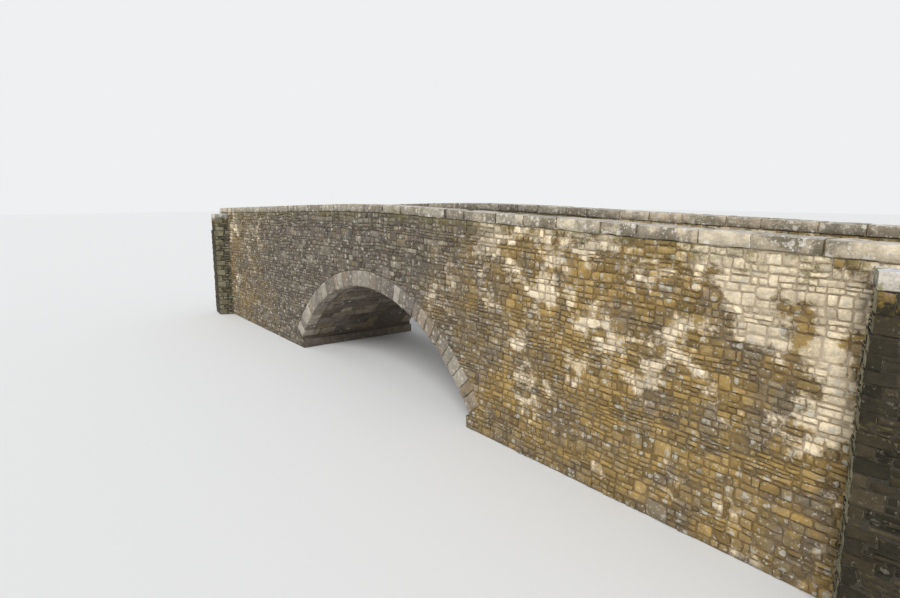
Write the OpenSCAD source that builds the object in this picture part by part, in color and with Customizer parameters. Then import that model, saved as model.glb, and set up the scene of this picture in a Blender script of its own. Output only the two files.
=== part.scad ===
// Stone arch bridge: one segmental arch of ring stones, rubble walls, parapets with
// a dressed coping, and a low capped pier at each corner.
// +X runs along the road, the near face looks along -Y, and +Z is up.
// The origin is under the crown of the arch, at the level where the walls are founded.

/* [Overall] */
// Length along the road, over both ends
bridge_len = 28800; // [25000:100:36000]
// Width over both faces
bridge_w = 4800; // [4000:50:6600]

/* [Arch] */
// Clear span at the springing
arch_span = 10000; // [8000:100:12000]
// Rise of the soffit from the springing to the crown
arch_rise = 2500; // [2000:50:3000]
// Height of the springing over the founding level
spring_z = 400; // [350:10:900]
// Depth of the ring stones, from soffit to back
ring_depth = 500; // [350:10:620]
// How far a ring stone reaches in from the face
ring_reach = 420; // [300:10:560]
// Ring stones on each side of the keystone
ring_stones = 17; // [12:1:22]
// Width of the keystone at the soffit
key_w = 340; // [260:10:480]
// Mortar joint between ring stones
ring_joint = 14; // [8:1:24]
// How much the ring stones vary in width, as a share
ring_vary = 0.18; // [0:0.01:0.3]

/* [Abutments] */
// Thickness of an abutment along the road
abutment_t = 1500; // [1200:50:2200]
// Height of the footing course
footing_h = 300; // [200:10:340]
// How far the footing stands out into the waterway
footing_out = 120; // [60:10:200]

/* [Road] */
// Road and fill over the back of the ring at the crown
crown_cover = 850; // [600:10:1300]
// Thickness of the road surfacing
road_t = 180; // [120:10:260]
// Run along the road for one unit of fall on each ramp
ramp_run = 36; // [20:1:90]
// Half length of the rounded crown between the ramps
crown_half = 3000; // [1500:100:4500]

/* [Walls] */
// Thickness of the spandrel, wing and end walls
wall_t = 600; // [500:10:800]
// Thickness of the parapets
parapet_t = 450; // [350:10:500]
// Height of the parapet masonry over the road
parapet_h = 920; // [700:10:1200]

/* [Coping] */
// Height of the coping stones
coping_h = 230; // [140:5:280]
// How far the coping stands out on each side of the parapet
coping_out = 35; // [10:5:70]
// Usual length of a coping stone
coping_len = 960; // [600:20:1400]
// Open joint between coping stones
coping_joint = 14; // [6:1:24]
// How much the coping stones vary in length, as a share
coping_vary = 0.2; // [0:0.01:0.3]
// Which joint of the near right coping has opened, counted from the crown
open_joint = 4; // [1:1:8]
// Width of the opened joint
open_w = 70; // [20:5:120]

/* [Corner piers] */
// Length of a pier along the wall
pier_w = 1140; // [800:20:1400]
// How far a pier stands out from the wall
pier_out = 560; // [400:10:800]
// How far the inner side of a pier slants towards the bank
pier_slant = 240; // [0:10:320]
// How far the front of a pier turns back towards the wall at its outer end
pier_turn = 110; // [0:10:200]
// Distance from the end of the bridge to the pier
pier_inset = 100; // [0:10:400]
// Height of a pier over the road, with its cap
pier_h = 880; // [700:10:1000]
// How far the base of a pier stands out from the pier
base_out = 30; // [0:5:60]
// Distance from the top of the cap down to the top of the base
base_drop = 780; // [500:10:1500]
// Thickness of the pier's cap
cap_t = 230; // [120:10:260]
// How far the cap stands out from the pier
cap_out = 20; // [0:5:80]
// Clearance round the coping, for a pier that rises past its bed
pier_gap = 10; // [4:1:20]

/* [Hidden] */

half_len = bridge_len / 2;
face_y = bridge_w / 2;
half_span = arch_span / 2;

// Circle of the soffit through both springings and the crown
soffit_r = (half_span * half_span + arch_rise * arch_rise) / (2 * arch_rise);
back_r = soffit_r + ring_depth;
arch_z = spring_z + arch_rise - soffit_r;
spring_a = asin(half_span / soffit_r);

// Outer corner of the sloping seat that the first ring stone stands on
seat_x = back_r * sin(spring_a);
seat_z = arch_z + back_r * cos(spring_a);
abutment_x = half_span + abutment_t;

crown_road_z = spring_z + arch_rise + ring_depth + crown_cover;
fine = 720;
cut_slack = 50;
// Stations closer together than this count as one
same_station = 1;
// Steps in degrees that vary the lengths of the coping stones and the widths of the ring stones
coping_turn = 147;
coping_start = 40;
ring_turn = 137;
ring_start = 20;

// Fall of the road at a distance from the crown: a rounded crown, then an even ramp
function fall(x) = x < crown_half
    ? x * x / (2 * crown_half * ramp_run)
    : (x - crown_half / 2) / ramp_run;
function road_z(x) = crown_road_z - fall(x);
function bed_z(x) = road_z(x) - road_t;
function parapet_z(x) = road_z(x) + parapet_h;

// Running sum of the first n values of a list
function sum_to(list, n) = n == 0 ? 0 : list[n - 1] + sum_to(list, n - 1);

// Coping joints from the crown to the end of one side
coping_n = round(half_len / coping_len);
coping_share = [for (i = [0 : coping_n - 1]) 1 + coping_vary * sin(i * coping_turn + coping_start)];
coping_scale = half_len / sum_to(coping_share, coping_n);
joint_x = [for (i = [0 : coping_n]) sum_to(coping_share, i) * coping_scale];

// Angles of the ring joints from the side of the keystone to the springing
joint_a = 2 * asin(ring_joint / 2 / soffit_r);
key_a = asin(key_w / 2 / soffit_r);
ring_share = [for (i = [0 : ring_stones - 1]) 1 + ring_vary * sin(i * ring_turn + ring_start)];
ring_scale = (spring_a - key_a) / sum_to(ring_share, ring_stones);
ring_a = [for (i = [0 : ring_stones]) key_a + sum_to(ring_share, i) * ring_scale];

stone = "#8f8272";
dressed = "#b3aa98";
earth = "#6f6353";

// Copies what is drawn for the near right quarter to another quarter
module quarter(left = false, far = false) {
    mirror([left ? 1 : 0, 0, 0]) mirror([0, far ? 1 : 0, 0]) children();
}

// Raises an outline drawn in X and Z, from depth y0 to depth y1
module upright(y0, y1) {
    translate([0, y1, 0]) rotate([90, 0, 0]) linear_extrude(y1 - y0) children();
}

// Cylinder along the arch's axis, from depth y0 to depth y1
module arch_round(r, y0, y1) {
    translate([0, y1, arch_z]) rotate([90, 0, 0]) cylinder(h = y1 - y0, r = r, $fn = fine);
}

// Stations from x0 to x1 where the road and the parapets bend, under the coping joints
function bends(x0, x1) = concat(
    [x0],
    [for (x = joint_x) if (x > x0 + same_station && x < x1 - same_station) x],
    [x1]
);

// Outline between two stations and two heights that follow the road's fall
module along_road(x0, x1, low, high) {
    stops = bends(x0, x1);
    last = len(stops) - 1;
    upper = [for (i = [0 : last]) [stops[i], high - fall(stops[i])]];
    lower = [for (i = [last : -1 : 0]) [stops[i], low - fall(stops[i])]];
    polygon(concat(upper, lower));
}

// Outline from a level foot up to the bed of the road
module up_to_bed(x0, x1, foot) {
    upper = [for (x = bends(x0, x1)) [x, bed_z(x)]];
    polygon(concat(upper, [[x1, foot], [x0, foot]]));
}

// Part of the arch ring between two angles from the crown, with flat radial ends
module ring_wedge(a0, a1, y0, y1) {
    translate([0, y1, arch_z]) rotate([90, 0, 0]) rotate([0, 0, 90 - a1])
        rotate_extrude(angle = a1 - a0, $fn = fine)
            translate([soffit_r, 0]) square([ring_depth, y1 - y0]);
}

module footing() {
    color(stone) upright(-face_y, face_y)
        polygon([
            [half_span - footing_out, 0], [abutment_x, 0],
            [abutment_x, footing_h], [half_span - footing_out, footing_h]
        ]);
}

// The top of the abutment slopes square to the thrust of the arch
module abutment() {
    color(stone) upright(-face_y, face_y)
        polygon([
            [half_span, footing_h], [abutment_x, footing_h], [abutment_x, seat_z],
            [seat_x, seat_z], [half_span, spring_z]
        ]);
}

module arch_barrel() {
    color(stone) ring_wedge(0, spring_a, -face_y + ring_reach, face_y - ring_reach);
}

// Ring stones of one haunch, each a wedge that points at the centre of the arch
module arch_ring() {
    color(dressed) for (i = [0 : ring_stones - 1])
        ring_wedge(ring_a[i] + joint_a, ring_a[i + 1], -face_y, -face_y + ring_reach);
}

module keystone() {
    color(dressed) ring_wedge(-key_a, key_a, -face_y, -face_y + ring_reach);
}

// Wall over one haunch, seated on the back of the ring and on the abutment
module spandrel() {
    color(stone) difference() {
        upright(-face_y, -face_y + wall_t) up_to_bed(0, abutment_x, seat_z);
        arch_round(back_r, -face_y - cut_slack, -face_y + wall_t + cut_slack);
    }
}

module wing_wall() {
    color(stone) upright(-face_y, -face_y + wall_t) up_to_bed(abutment_x, half_len, 0);
}

module end_wall() {
    color(stone) upright(-face_y + wall_t, face_y - wall_t)
        up_to_bed(half_len - wall_t, half_len, 0);
}

// Packed rubble and earth between the walls, over the arch and behind the abutment
module fill() {
    y = face_y - wall_t;
    color(earth) union() {
        difference() {
            upright(-y, y) up_to_bed(0, abutment_x, seat_z);
            arch_round(back_r, -y - cut_slack, y + cut_slack);
        }
        upright(-y, y) up_to_bed(abutment_x, half_len - wall_t, 0);
    }
}

module roadway() {
    y = face_y - parapet_t;
    color(earth) for (left = [false, true]) quarter(left)
        upright(-y, y) along_road(0, half_len, crown_road_z - road_t, crown_road_z);
}

module parapet() {
    color(stone) upright(-face_y, -face_y + parapet_t)
        along_road(0, half_len, crown_road_z - road_t, crown_road_z + parapet_h);
}

// One coping stone from x0 to x1, on the parapet's straight bed from station s0 to s1
module coping_stone(x0, x1, s0, s1) {
    slope = (fall(s1) - fall(s0)) / (s1 - s0);
    z0 = parapet_z(s0) - slope * (x0 - s0);
    z1 = parapet_z(s0) - slope * (x1 - s0);
    upright(-face_y - coping_out, -face_y + parapet_t + coping_out)
        polygon([[x0, z0], [x1, z1], [x1, z1 + coping_h], [x0, z0 + coping_h]]);
}

// Row of coping stones from the crown, one of its joints opened if asked
module coping(opened = -1) {
    half = coping_joint / 2;
    color(dressed) for (i = [0 : coping_n - 1]) {
        start = joint_x[i] + (i == opened ? open_w - half : half);
        end = joint_x[i + 1] - (i == coping_n - 1 ? 0 : half);
        coping_stone(start, end, joint_x[i], joint_x[i + 1]);
    }
}

// Plan of a pier, wider all round by grow, with its back on the wall
module pier_plan(grow = 0) {
    x1 = half_len - pier_inset;
    x0 = x1 - pier_w;
    polygon([
        [x0 - grow, -face_y],
        [x0 + pier_slant - grow, -face_y - pier_out - grow],
        [x1 + grow, -face_y - pier_out + pier_turn - grow],
        [x1 + grow, -face_y]
    ]);
}

// Room for the coping that overhangs the wall, open above, in a pier that rises past its bed
module coping_room() {
    low = crown_road_z + parapet_h - pier_gap;
    upright(-face_y - coping_out - pier_gap, -face_y + cut_slack)
        along_road(0, half_len + cap_out + cut_slack, low, low + pier_h);
}

pier_top = road_z(half_len - pier_inset - pier_w / 2) + pier_h;
base_top = pier_top - base_drop;

module pier() {
    color(stone) difference() {
        union() {
            linear_extrude(base_top) pier_plan(base_out);
            translate([0, 0, base_top]) linear_extrude(pier_top - cap_t - base_top) pier_plan();
        }
        coping_room();
    }
}

module pier_cap() {
    color(dressed) difference() {
        translate([0, 0, pier_top - cap_t]) linear_extrude(cap_t) pier_plan(cap_out);
        coping_room();
    }
}

quarter(true) footing();  // footing_left
footing();  // footing_right
quarter(true) abutment();  // abutment_left
abutment();  // abutment_right
quarter(true) arch_barrel();  // arch_barrel_left
arch_barrel();  // arch_barrel_right
quarter(true) arch_ring();  // arch_ring_near_left
arch_ring();  // arch_ring_near_right
quarter(true, true) arch_ring();  // arch_ring_far_left
quarter(false, true) arch_ring();  // arch_ring_far_right
keystone();  // keystone_near
quarter(false, true) keystone();  // keystone_far
quarter(true) spandrel();  // spandrel_near_left
spandrel();  // spandrel_near_right
quarter(true, true) spandrel();  // spandrel_far_left
quarter(false, true) spandrel();  // spandrel_far_right
quarter(true) wing_wall();  // wing_wall_near_left
wing_wall();  // wing_wall_near_right
quarter(true, true) wing_wall();  // wing_wall_far_left
quarter(false, true) wing_wall();  // wing_wall_far_right
quarter(true) end_wall();  // end_wall_left
end_wall();  // end_wall_right
quarter(true) fill();  // fill_left
fill();  // fill_right
roadway();
quarter(true) parapet();  // parapet_near_left
parapet();  // parapet_near_right
quarter(true, true) parapet();  // parapet_far_left
quarter(false, true) parapet();  // parapet_far_right
quarter(true) coping();  // coping_near_left
coping(open_joint);  // coping_near_right
quarter(true, true) coping();  // coping_far_left
quarter(false, true) coping();  // coping_far_right
quarter(true) pier();  // pier_near_left
pier();  // pier_near_right
quarter(true, true) pier();  // pier_far_left
quarter(false, true) pier();  // pier_far_right
quarter(true) pier_cap();  // pier_cap_near_left
pier_cap();  // pier_cap_near_right
quarter(true, true) pier_cap();  // pier_cap_far_left
quarter(false, true) pier_cap();  // pier_cap_far_right
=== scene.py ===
"""Stone arch bridge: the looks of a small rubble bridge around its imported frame."""

import logging
import math
from dataclasses import dataclass, field
from enum import Enum
from functools import lru_cache
from random import Random
from typing import Callable, Iterable, Optional, Sequence, Union

import bpy
import numpy as np
from mathutils import Matrix, Vector, noise


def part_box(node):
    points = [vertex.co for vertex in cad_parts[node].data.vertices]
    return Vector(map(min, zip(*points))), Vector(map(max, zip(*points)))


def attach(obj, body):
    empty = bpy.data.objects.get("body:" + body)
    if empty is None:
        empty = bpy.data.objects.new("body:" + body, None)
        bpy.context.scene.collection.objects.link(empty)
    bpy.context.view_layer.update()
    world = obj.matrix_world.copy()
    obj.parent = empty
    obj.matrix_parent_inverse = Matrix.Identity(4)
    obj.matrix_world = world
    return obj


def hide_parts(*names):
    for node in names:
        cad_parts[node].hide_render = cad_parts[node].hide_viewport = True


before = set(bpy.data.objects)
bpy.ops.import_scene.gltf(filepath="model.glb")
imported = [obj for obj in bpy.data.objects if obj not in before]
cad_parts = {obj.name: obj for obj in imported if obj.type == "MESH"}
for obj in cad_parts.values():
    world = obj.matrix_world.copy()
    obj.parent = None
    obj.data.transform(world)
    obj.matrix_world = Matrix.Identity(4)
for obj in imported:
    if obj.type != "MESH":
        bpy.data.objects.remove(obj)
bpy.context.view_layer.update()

BODY = "root"
LOG = logging.getLogger("bridge")

FOOT_Z = 0.002  # The new pieces stand this far over the founding level.
WHEEL_Y = 0.9  # Distance of a wheel track from the middle of the road.
TINY = 1e-6

Pair = tuple[float, float]
Range = tuple[float, float]  # The least and the greatest value.
Point = tuple[float, float]
Outline = list[Point]
Rect = tuple[float, float, float, float]  # Least and greatest first coordinate, then those of the second.
Spot = tuple[float, float, float]
Place = Callable[[float, float, float], Spot]
Colour = tuple[float, float, float, float]
Piece = bpy.types.Object
Mesh = bpy.types.Mesh
Material = bpy.types.Material
Graph = bpy.types.NodeTree
Node = bpy.types.Node
Socket = bpy.types.NodeSocket
Materials = dict["Finish", Material]


class Slot(Enum):
    """Material slots of the record, passed along with the new pieces' finishes."""

    RUBBLE = "rubble_stone"
    ARCH = "arch_stone"
    DRESSED = "dressed_stone"
    EARTH = "packed_earth"


class Side(Enum):
    """The two ends of the bridge, as seen from in front of the near face."""

    LEFT = "left"
    RIGHT = "right"

    @property
    def way(self) -> int:
        """Sign of this end's X."""
        return 1 if self is Side.RIGHT else -1


class Face(Enum):
    """The two long faces of the bridge; the photograph shows the near one."""

    NEAR = "near"
    FAR = "far"

    @property
    def way(self) -> int:
        """Sign of this face's Y."""
        return 1 if self is Face.FAR else -1


@dataclass(frozen=True)
class BridgeSizes:
    """Sizes of the bridge in metres, read from the frame where a node's box gives them."""

    arch_span: float = 10.0  # Width of the arch between its springings.
    arch_rise: float = 2.5  # Height of the soffit's crown over them.
    spring_z: float = 0.4  # Height of the springings.
    ring_depth: float = 0.5  # Depth of the ring stones, from soffit to back.
    ring_reach: float = 0.42  # How far the ring stones reach into the wall.
    ring_stones: int = 17  # Number of ring stones on each side of a keystone.
    ring_vary: float = 0.18  # How far their widths vary.
    ring_turn: float = 137.0  # Degrees from one to the next in the wave that varies them.
    ring_start: float = 20.0  # Degrees of that wave at the first.
    key_w: float = 0.34  # Width of a keystone at the soffit.
    ramp_run: float = 36.0  # Length of the ramps that falls by a metre.
    crown_half: float = 3.0  # Half the length of the road's rounded crown.
    parapet_h: float = 0.92  # Height of the parapets' masonry over the road.
    pier_slant: float = 0.24  # How far a pier's inner side runs along the wall.
    pier_turn: float = 0.11  # How far a pier's front falls back towards the end.
    base_out: float = 0.03  # Step of a pier's base out of its shaft.
    base_drop: float = 0.78  # How far the base's top lies under the top of the cap.

    @property
    def half_len(self) -> float:
        """Half the length of the bridge along the road."""
        return node_box("roadway")[1].x

    @property
    def face_y(self) -> float:
        """Distance of either face from the middle of the road."""
        return node_box("spandrel_far_right")[1].y

    @property
    def inner_y(self) -> float:
        """Distance of a parapet's inner face from the middle of the road."""
        return node_box("roadway")[1].y

    @property
    def road_crown(self) -> float:
        """Height of the road at the crown."""
        return node_box("roadway")[1].z

    @property
    def soffit_r(self) -> float:
        """Radius of the arch's soffit."""
        half = self.arch_span / 2
        return (half * half + self.arch_rise * self.arch_rise) / (2 * self.arch_rise)

    @property
    def back_r(self) -> float:
        """Radius of the back of the ring."""
        return self.soffit_r + self.ring_depth

    @property
    def arch_z(self) -> float:
        """Height of the arch's centre."""
        return self.spring_z + self.arch_rise - self.soffit_r

    @property
    def spring_a(self) -> float:
        """Angle from the crown to the springing."""
        return math.asin(self.arch_span / 2 / self.soffit_r)

    def fall(self, x: float) -> float:
        """Return how far the road lies under its crown.

        Args:
            x: Distance along the road from the crown.

        Returns:
            The fall in metres, on a rounded crown and then an even ramp.
        """
        far = abs(x)
        if far < self.crown_half:
            return far * far / (2 * self.crown_half * self.ramp_run)
        return (far - self.crown_half / 2) / self.ramp_run

    def road_z(self, x: float) -> float:
        """Height of the road at a distance from the crown."""
        return self.road_crown - self.fall(x)

    def slope(self, x: float) -> float:
        """Rise of the road in a metre at a distance from the crown."""
        return -max(-1.0, min(1.0, x / self.crown_half)) / self.ramp_run

    def parapet_z(self, x: float) -> float:
        """Height of the parapet's bed for the coping at a distance from the crown."""
        return self.road_z(x) + self.parapet_h

    def ring_angles(self) -> list[float]:
        """Return the angles of the ring's joints, from beside the keystone to the springing."""
        key_a = math.asin(self.key_w / 2 / self.soffit_r)
        waves = [math.radians(i * self.ring_turn + self.ring_start) for i in range(self.ring_stones)]
        shares = [1 + self.ring_vary * math.sin(wave) for wave in waves]
        scale = (self.spring_a - key_a) / sum(shares)
        angles = [key_a]
        for share in shares:
            angles.append(angles[-1] + share * scale)
        return angles


SIZES = BridgeSizes()


@lru_cache(maxsize=None)
def node_box(node: str) -> tuple[Vector, Vector]:
    """Return the lowest and the highest corner of a frame node, looked up once."""
    low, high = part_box(node)
    return low.freeze(), high.freeze()


def corner_name(face: Face, side: Side) -> str:
    """Return what the names of the pieces at one corner share."""
    return f"{face.value}_{side.value}"


def seed_of(name: str) -> int:
    """Return a number for a name that is the same on every run."""
    return sum((i + 1) * ord(letter) for i, letter in enumerate(name))


def deselect_all() -> None:
    """Leave nothing selected and no edit mode on."""
    if bpy.context.object and bpy.context.object.mode != "OBJECT":
        bpy.ops.object.mode_set(mode="OBJECT")
    bpy.ops.object.select_all(action="DESELECT")


def select_only(*pieces: Piece) -> None:
    """Select some objects and make the first one active."""
    deselect_all()
    for piece in pieces:
        piece.select_set(True)
    bpy.context.view_layer.objects.active = pieces[0]


def edit_whole() -> None:
    """Go into edit mode with everything selected."""
    bpy.ops.object.mode_set(mode="EDIT")
    bpy.ops.mesh.select_all(action="SELECT")


def add_cube(**settings: object) -> Piece:
    """Add a cube of one metre's size as a start, with its place applied, and return it."""
    deselect_all()
    bpy.ops.mesh.primitive_cube_add(size=1, **settings)
    bpy.ops.object.transform_apply(location=True, rotation=True, scale=True)
    return bpy.context.object


def link_new(name: str, data: bpy.types.ID) -> Piece:
    """Make an object of some data, add it to the scene and return it."""
    obj = bpy.data.objects.new(name, data)
    bpy.context.scene.collection.objects.link(obj)
    return obj


def join(name: str, *pieces: Piece) -> Piece:
    """Join objects into the first one, name it and return it."""
    select_only(*pieces)
    if len(pieces) > 1:
        bpy.ops.object.join()
    pieces[0].name = name
    return pieces[0]


def points_of(mesh: Mesh) -> np.ndarray:
    """Return a mesh's points, one in a row."""
    points = np.zeros(len(mesh.vertices) * 3)
    mesh.vertices.foreach_get("co", points)
    return points.reshape(-1, 3)


def paint_tones(mesh: Mesh, tones: Iterable) -> None:
    """Give every point of a mesh the four numbers of its stone that the finishes read."""
    colours = mesh.color_attributes.new("tone", "FLOAT_COLOR", "POINT")
    colours.data.foreach_set("color", np.array(tones, np.float32).ravel())


def settle(obj: Piece, material: Material, sharp: float = 40) -> Piece:
    """Shade, dress and attach a finished piece, and keep it above the founding level.

    Args:
        obj: The piece.
        material: Its finish.
        sharp: Edges steeper than this many degrees stay sharp.

    Returns:
        The piece.
    """
    select_only(obj)
    points = points_of(obj.data)
    points[:, 2] = np.maximum(points[:, 2], FOOT_Z)
    obj.data.vertices.foreach_set("co", points.ravel())
    bpy.ops.object.shade_smooth_by_angle(angle=math.radians(sharp))
    obj.data.materials.clear()
    obj.data.materials.append(material)
    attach(obj, BODY)
    deselect_all()
    return obj


def clip(outline: Outline, px: float, py: float, nx: float, ny: float) -> Outline:
    """Cut an outline by a straight line.

    Args:
        outline: Corners in order.
        px: A point on the line, first coordinate.
        py: A point on the line, second coordinate.
        nx: Normal that points to the side that is cut off, first coordinate.
        ny: The same normal, second coordinate.

    Returns:
        The part of the outline behind the line.
    """
    kept: Outline = []
    for (ax, ay), (bx, by) in zip(outline, outline[1:] + outline[:1]):
        da = (ax - px) * nx + (ay - py) * ny
        db = (bx - px) * nx + (by - py) * ny
        if da <= 0:
            kept.append((ax, ay))
        if (da < 0 < db) or (db < 0 < da):
            t = da / (da - db)
            kept.append((ax + t * (bx - ax), ay + t * (by - ay)))
    return kept


def within(outline: Outline, u0: float = -math.inf, u1: float = math.inf, v0: float = -math.inf,
           v1: float = math.inf) -> Outline:
    """Cut an outline to a rectangle, of which any side can be left out.

    Args:
        outline: Corners in order.
        u0: Least first coordinate.
        u1: Greatest first coordinate.
        v0: Least second coordinate.
        v1: Greatest second coordinate.

    Returns:
        What is left of the outline; it can be empty.
    """
    outline = clip(clip(outline, u0, 0, -1, 0), u1, 0, 1, 0)
    return clip(clip(outline, 0, v0, 0, -1), 0, v1, 0, 1)


def area_of(outline: Outline) -> float:
    """Area inside an outline whose corners run anticlockwise."""
    return 0.5 * sum(ax * by - bx * ay for (ax, ay), (bx, by) in zip(outline, outline[1:] + outline[:1]))


def middle_of(outline: Outline) -> Point:
    """Return the mean of an outline's corners."""
    return tuple(sum(corner[k] for corner in outline) / len(outline) for k in range(2))


def spare(outline: Outline, blocks: Iterable[Rect], gap: float = 0.008) -> Outline:
    """Trim an outline where it runs into blocks, each time by the edge that takes least.

    Args:
        outline: Corners in order, anticlockwise.
        blocks: The blocks' rectangles.
        gap: Joint left round a block.

    Returns:
        What is left of the outline; it can be empty.
    """
    for u0, u1, v0, v1 in blocks:
        if len(outline) < 3:
            return []
        us, vs = zip(*outline)
        if min(us) >= u1 + gap or max(us) <= u0 - gap or min(vs) >= v1 + gap or max(vs) <= v0 - gap:
            continue
        sides = (within(outline, u1=u0 - gap), within(outline, u0=u1 + gap),
                 within(outline, v1=v0 - gap), within(outline, v0=v1 + gap))
        outline = max(sides, key=area_of)
    return outline


class Stretch(Enum):
    """How a stretch of a band of stones is built.

    A value holds the ranges of the shares of the band's height at which the stretch is split into rows, and
    the range of its length, in heights of the band for a tall stone and in greatest stone lengths for rows.
    """

    TALL = ((), (0.65, 1.35))
    THIN = (((0.26, 0.4), (0.6, 0.74)), (1.0, 2.2))
    PAIR = (((0.36, 0.64),), (1.1, 2.8))


@dataclass(frozen=True)
class Bond:
    """How the stones of a wall are sized and bedded, in metres."""

    band: Range = (0.21, 0.37)  # Height of a band of stones.
    stone: Range = (0.1, 0.34)  # Length of a usual stone.
    joint: float = 0.016  # Usual width of a mortar joint.
    gap: Range = (0.35, 0.75)  # Share of the joint on one side of a stone.
    stray: Pair = (0.91, 0.52)  # How far a corner strays along the bed and up, as shares of the joint.
    chip: float = 0.36  # Share of a stone's short side that a corner may lose.
    most: float = 0.55  # Share of the chip that most corners lose at most.
    most_share: float = 0.75  # Share of those corners.
    # Least share of the short side that a corner loses, of those corners and of the others.
    least: Pair = (0.05, 0.15)
    skew: Range = (0.6, 1.5)  # Ratio of a chip's reach along a side to its size.
    rounding: Range = (0.45, 0.75)  # Share of a chip that is taken off in its middle.
    bow: Range = (-0.009, 0.007)  # Push of a long side out of line.
    bow_at: Range = (0.42, 0.6)  # Where it is pushed, as a share of its length.
    tall_share: float = 0.15  # Share of a band's stretches that are one stone.
    thin_share: float = 0.34  # Share of them that are three stones high.
    wave: float = 0.045  # How far the beds rise and fall.
    wave_scale: Pair = (0.9, 0.6)  # How fast, along the bed and upwards.
    round_from: float = 0.05  # Corners cut by more than this get a point between.
    bow_from: float = 0.24  # Sides longer than this get a point between.
    least_side: float = 0.02  # Shortest side that a chip is sized by.

    def fill(self, rng: Random, width: float, height: float) -> list[Outline]:
        """Fill a rectangle with stone outlines.

        Args:
            rng: Source of the stones' sizes.
            width: Width of the rectangle.
            height: Height of the rectangle.

        Returns:
            Outlines with anticlockwise corners, a joint apart.
        """
        heights = []
        while sum(heights) < height:
            heights.append(rng.uniform(*self.band))
        scale = height / sum(heights)
        outlines: list[Outline] = []
        low = 0.0
        for band in heights:
            high = low + band * scale
            outlines += self.fill_band(rng, width, low, high)
            low = high
        return outlines

    def fill_band(self, rng: Random, width: float, low: float, high: float) -> list[Outline]:
        """Fill one band with stretches of one, two or three stones in height.

        Args:
            rng: Source of the stones' sizes.
            width: Length of the band.
            low: Height of its foot.
            high: Height of its head.

        Returns:
            Outlines with anticlockwise corners, a joint apart.
        """
        outlines: list[Outline] = []
        start = -rng.uniform(0, self.stone[1])
        height = high - low
        while start < width:
            stretch = self.stretch_for(rng.random())
            splits, lengths = stretch.value
            rows = [0.0, *(rng.uniform(*split) for split in splits), 1.0]
            length = rng.uniform(*lengths) * (height if stretch is Stretch.TALL else self.stone[1])
            for under, over in zip(rows, rows[1:]):
                left = start
                while left < start + length - TINY:
                    rest = start + length - left
                    step = min(rest, rng.uniform(*self.stone))
                    if rest - step < self.stone[0] or stretch is Stretch.TALL:
                        step = rest
                    if left + step > 0:
                        outlines.append(self.stone_outline(
                            rng, left, left + step, low + under * height, low + over * height))
                    left += step
            start += length
        return outlines

    def stretch_for(self, pick: float) -> Stretch:
        """Return the kind of stretch for a random number from 0 to 1."""
        if pick < self.tall_share:
            return Stretch.TALL
        return Stretch.THIN if pick < self.tall_share + self.thin_share else Stretch.PAIR

    def stone_outline(self, rng: Random, x0: float, x1: float, y0: float, y1: float) -> Outline:
        """Shape a rough stone inside a cell, its corners chipped and its beds wavy.

        Args:
            rng: Source of its shape.
            x0: Left side of the cell.
            x1: Right side of the cell.
            y0: Foot of the cell.
            y1: Head of the cell.

        Returns:
            The outline.
        """
        gap = self.joint * rng.uniform(*self.gap)
        x0, x1, y0, y1 = x0 + gap, x1 - gap, y0 + gap, y1 - gap
        short = max(min(x1 - x0, y1 - y0), self.least_side)
        along, up = (share * self.joint for share in self.stray)
        cell = ((x0, y0), (x1, y0), (x1, y1), (x0, y1))
        corners = [(x + rng.uniform(-along, along), y + rng.uniform(-up, up)) for x, y in cell]
        outline: Outline = []
        for i, (cx, cy) in enumerate(corners):
            after = corners[(i + 1) % 4]
            usual = rng.random() < self.most_share
            chips = (self.least[0], self.chip * self.most) if usual else (self.least[1], self.chip)
            cut = short * rng.uniform(*chips)
            ends = [self.chip_end(rng, (cx, cy), other, cut) for other in (corners[i - 1], after)]
            if cut > self.round_from:
                share = rng.uniform(*self.rounding)
                mx, my = middle_of(ends)
                ends.insert(1, (mx * share + cx * (1 - share), my * share + cy * (1 - share)))
            outline += ends
            dx, dy = after[0] - cx, after[1] - cy
            length = math.hypot(dx, dy)
            if length > self.bow_from:
                push = rng.uniform(*self.bow)
                at = rng.uniform(*self.bow_at)
                outline.append((cx + dx * at + dy / length * push, cy + dy * at - dx / length * push))
        return [(x, y + self.wave * self.wave_at(x, y)) for x, y in outline]

    def chip_end(self, rng: Random, corner: Point, other: Point, cut: float) -> Point:
        """Return where a corner's chip ends on the side towards another corner, within half that side."""
        dx, dy = other[0] - corner[0], other[1] - corner[1]
        share = min(0.45, cut * rng.uniform(*self.skew) / max(math.hypot(dx, dy), TINY))
        return (corner[0] + dx * share, corner[1] + dy * share)

    def wave_at(self, x: float, y: float) -> float:
        """Return the rise of the beds at a place, from -1 to 1."""
        return noise.noise(Vector((x * self.wave_scale[0], y * self.wave_scale[1], 3.1)))


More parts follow.
